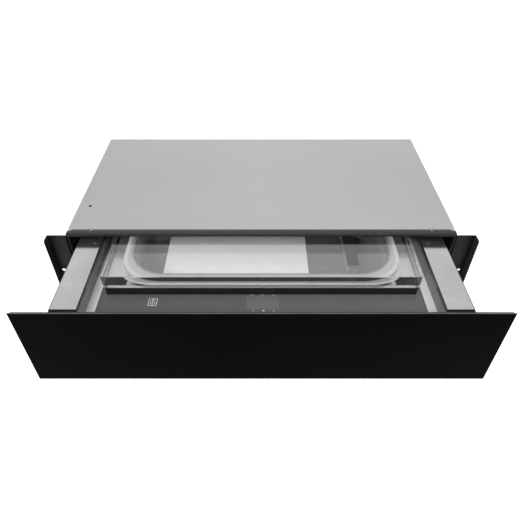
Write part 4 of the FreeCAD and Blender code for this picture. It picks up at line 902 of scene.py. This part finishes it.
def outlet_cap():
    """Low steel cap with a rounded edge over the outlet in the chamber's floor."""
    low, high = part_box("chamber_port")
    place = Vector(((low[0] + high[0]) / 2, low[1] + CAP_INSET, TUB_FLOOR + FACE_GAP))

    def build(work):
        lathe(work, CAP, place, Vector((0, 0, 1)))

    new_piece("outlet_cap", build, "drawer", "deck_steel")


# Surroundings

def seen_directly(finish):
    """One for camera, glossy and transmission rays, and zero for the others."""
    path = finish.add("ShaderNodeLightPath").outputs
    seen = finish.calculate("MAXIMUM", path["Is Camera Ray"], path["Is Glossy Ray"])
    return finish.calculate("MAXIMUM", seen, path["Is Transmission Ray"])


def add_floor():
    """Pale floor that shows white to the camera and keeps a soft shadow."""
    mesh = bpy.data.meshes.new("floor")
    corners = [(x * FLOOR_REACH, y * FLOOR_REACH, 0) for x, y in ((-1, -1), (1, -1), (1, 1), (-1, 1))]
    mesh.from_pydata(corners, [], [(0, 1, 2, 3)])
    floor = bpy.data.objects.new("floor", mesh)
    bpy.context.scene.collection.objects.link(floor)
    finish = Finish("floor", Roughness=0.9, Specular_IOR_Level=0.0)
    finish.feed("Base Color", finish.grey(0.8, 0.82, scale=3.0))
    finish.shader.inputs["Emission Color"].default_value = spread(1.0)
    finish.feed("Emission Strength", finish.between(seen_directly(finish), 0.0, FLOOR_GLOW, *WHOLE))
    floor.data.materials.append(finish.material)


class Sky(Finish):
    """The world's tree, with the same short ways to add to it."""

    def __init__(self):
        world = bpy.data.worlds.new("surroundings")
        bpy.context.scene.world = world
        world.use_nodes = True
        self.tree = world.node_tree
        self.shader = self.tree.nodes["Background"]


def add_world():
    """White where it is seen, and a plain level of light on the object."""
    sky = Sky()
    sky.shader.inputs["Color"].default_value = spread(1.0)
    sky.feed("Strength", sky.between(seen_directly(sky), ROOM_LIGHT, 1.0, *WHOLE))


def add_lamp(name, place, size, power, mirrored):
    """A rectangular lamp that looks at the object, with its power in watts."""
    data = bpy.data.lights.new(name, "AREA")
    data.shape = "RECTANGLE"
    data.size, data.size_y = size
    data.energy = power
    lamp = bpy.data.objects.new(name, data)
    lamp.visible_glossy = mirrored
    lamp.location = place
    lamp.rotation_euler = (Vector(LAMP_TARGET) - Vector(place)).to_track_quat("-Z", "Y").to_euler()
    bpy.context.scene.collection.objects.link(lamp)


def add_lamps():
    add_lamp("key", place=(-0.7, -1.5, 1.9), size=(0.9, 0.7), power=42.0, mirrored=False)
    add_lamp("top", place=(0.2, -0.3, 2.0), size=(1.6, 1.2), power=11.0, mirrored=True)


dress_nodes()
icon_marks()
key_marks()
small_marks()
display_window()
screw_heads()
seal_contact()
strip_face()
outlet_cap()
add_floor()
add_world()
add_lamps()
add_camera()
bpy.context.scene.view_settings.view_transform = "Standard"
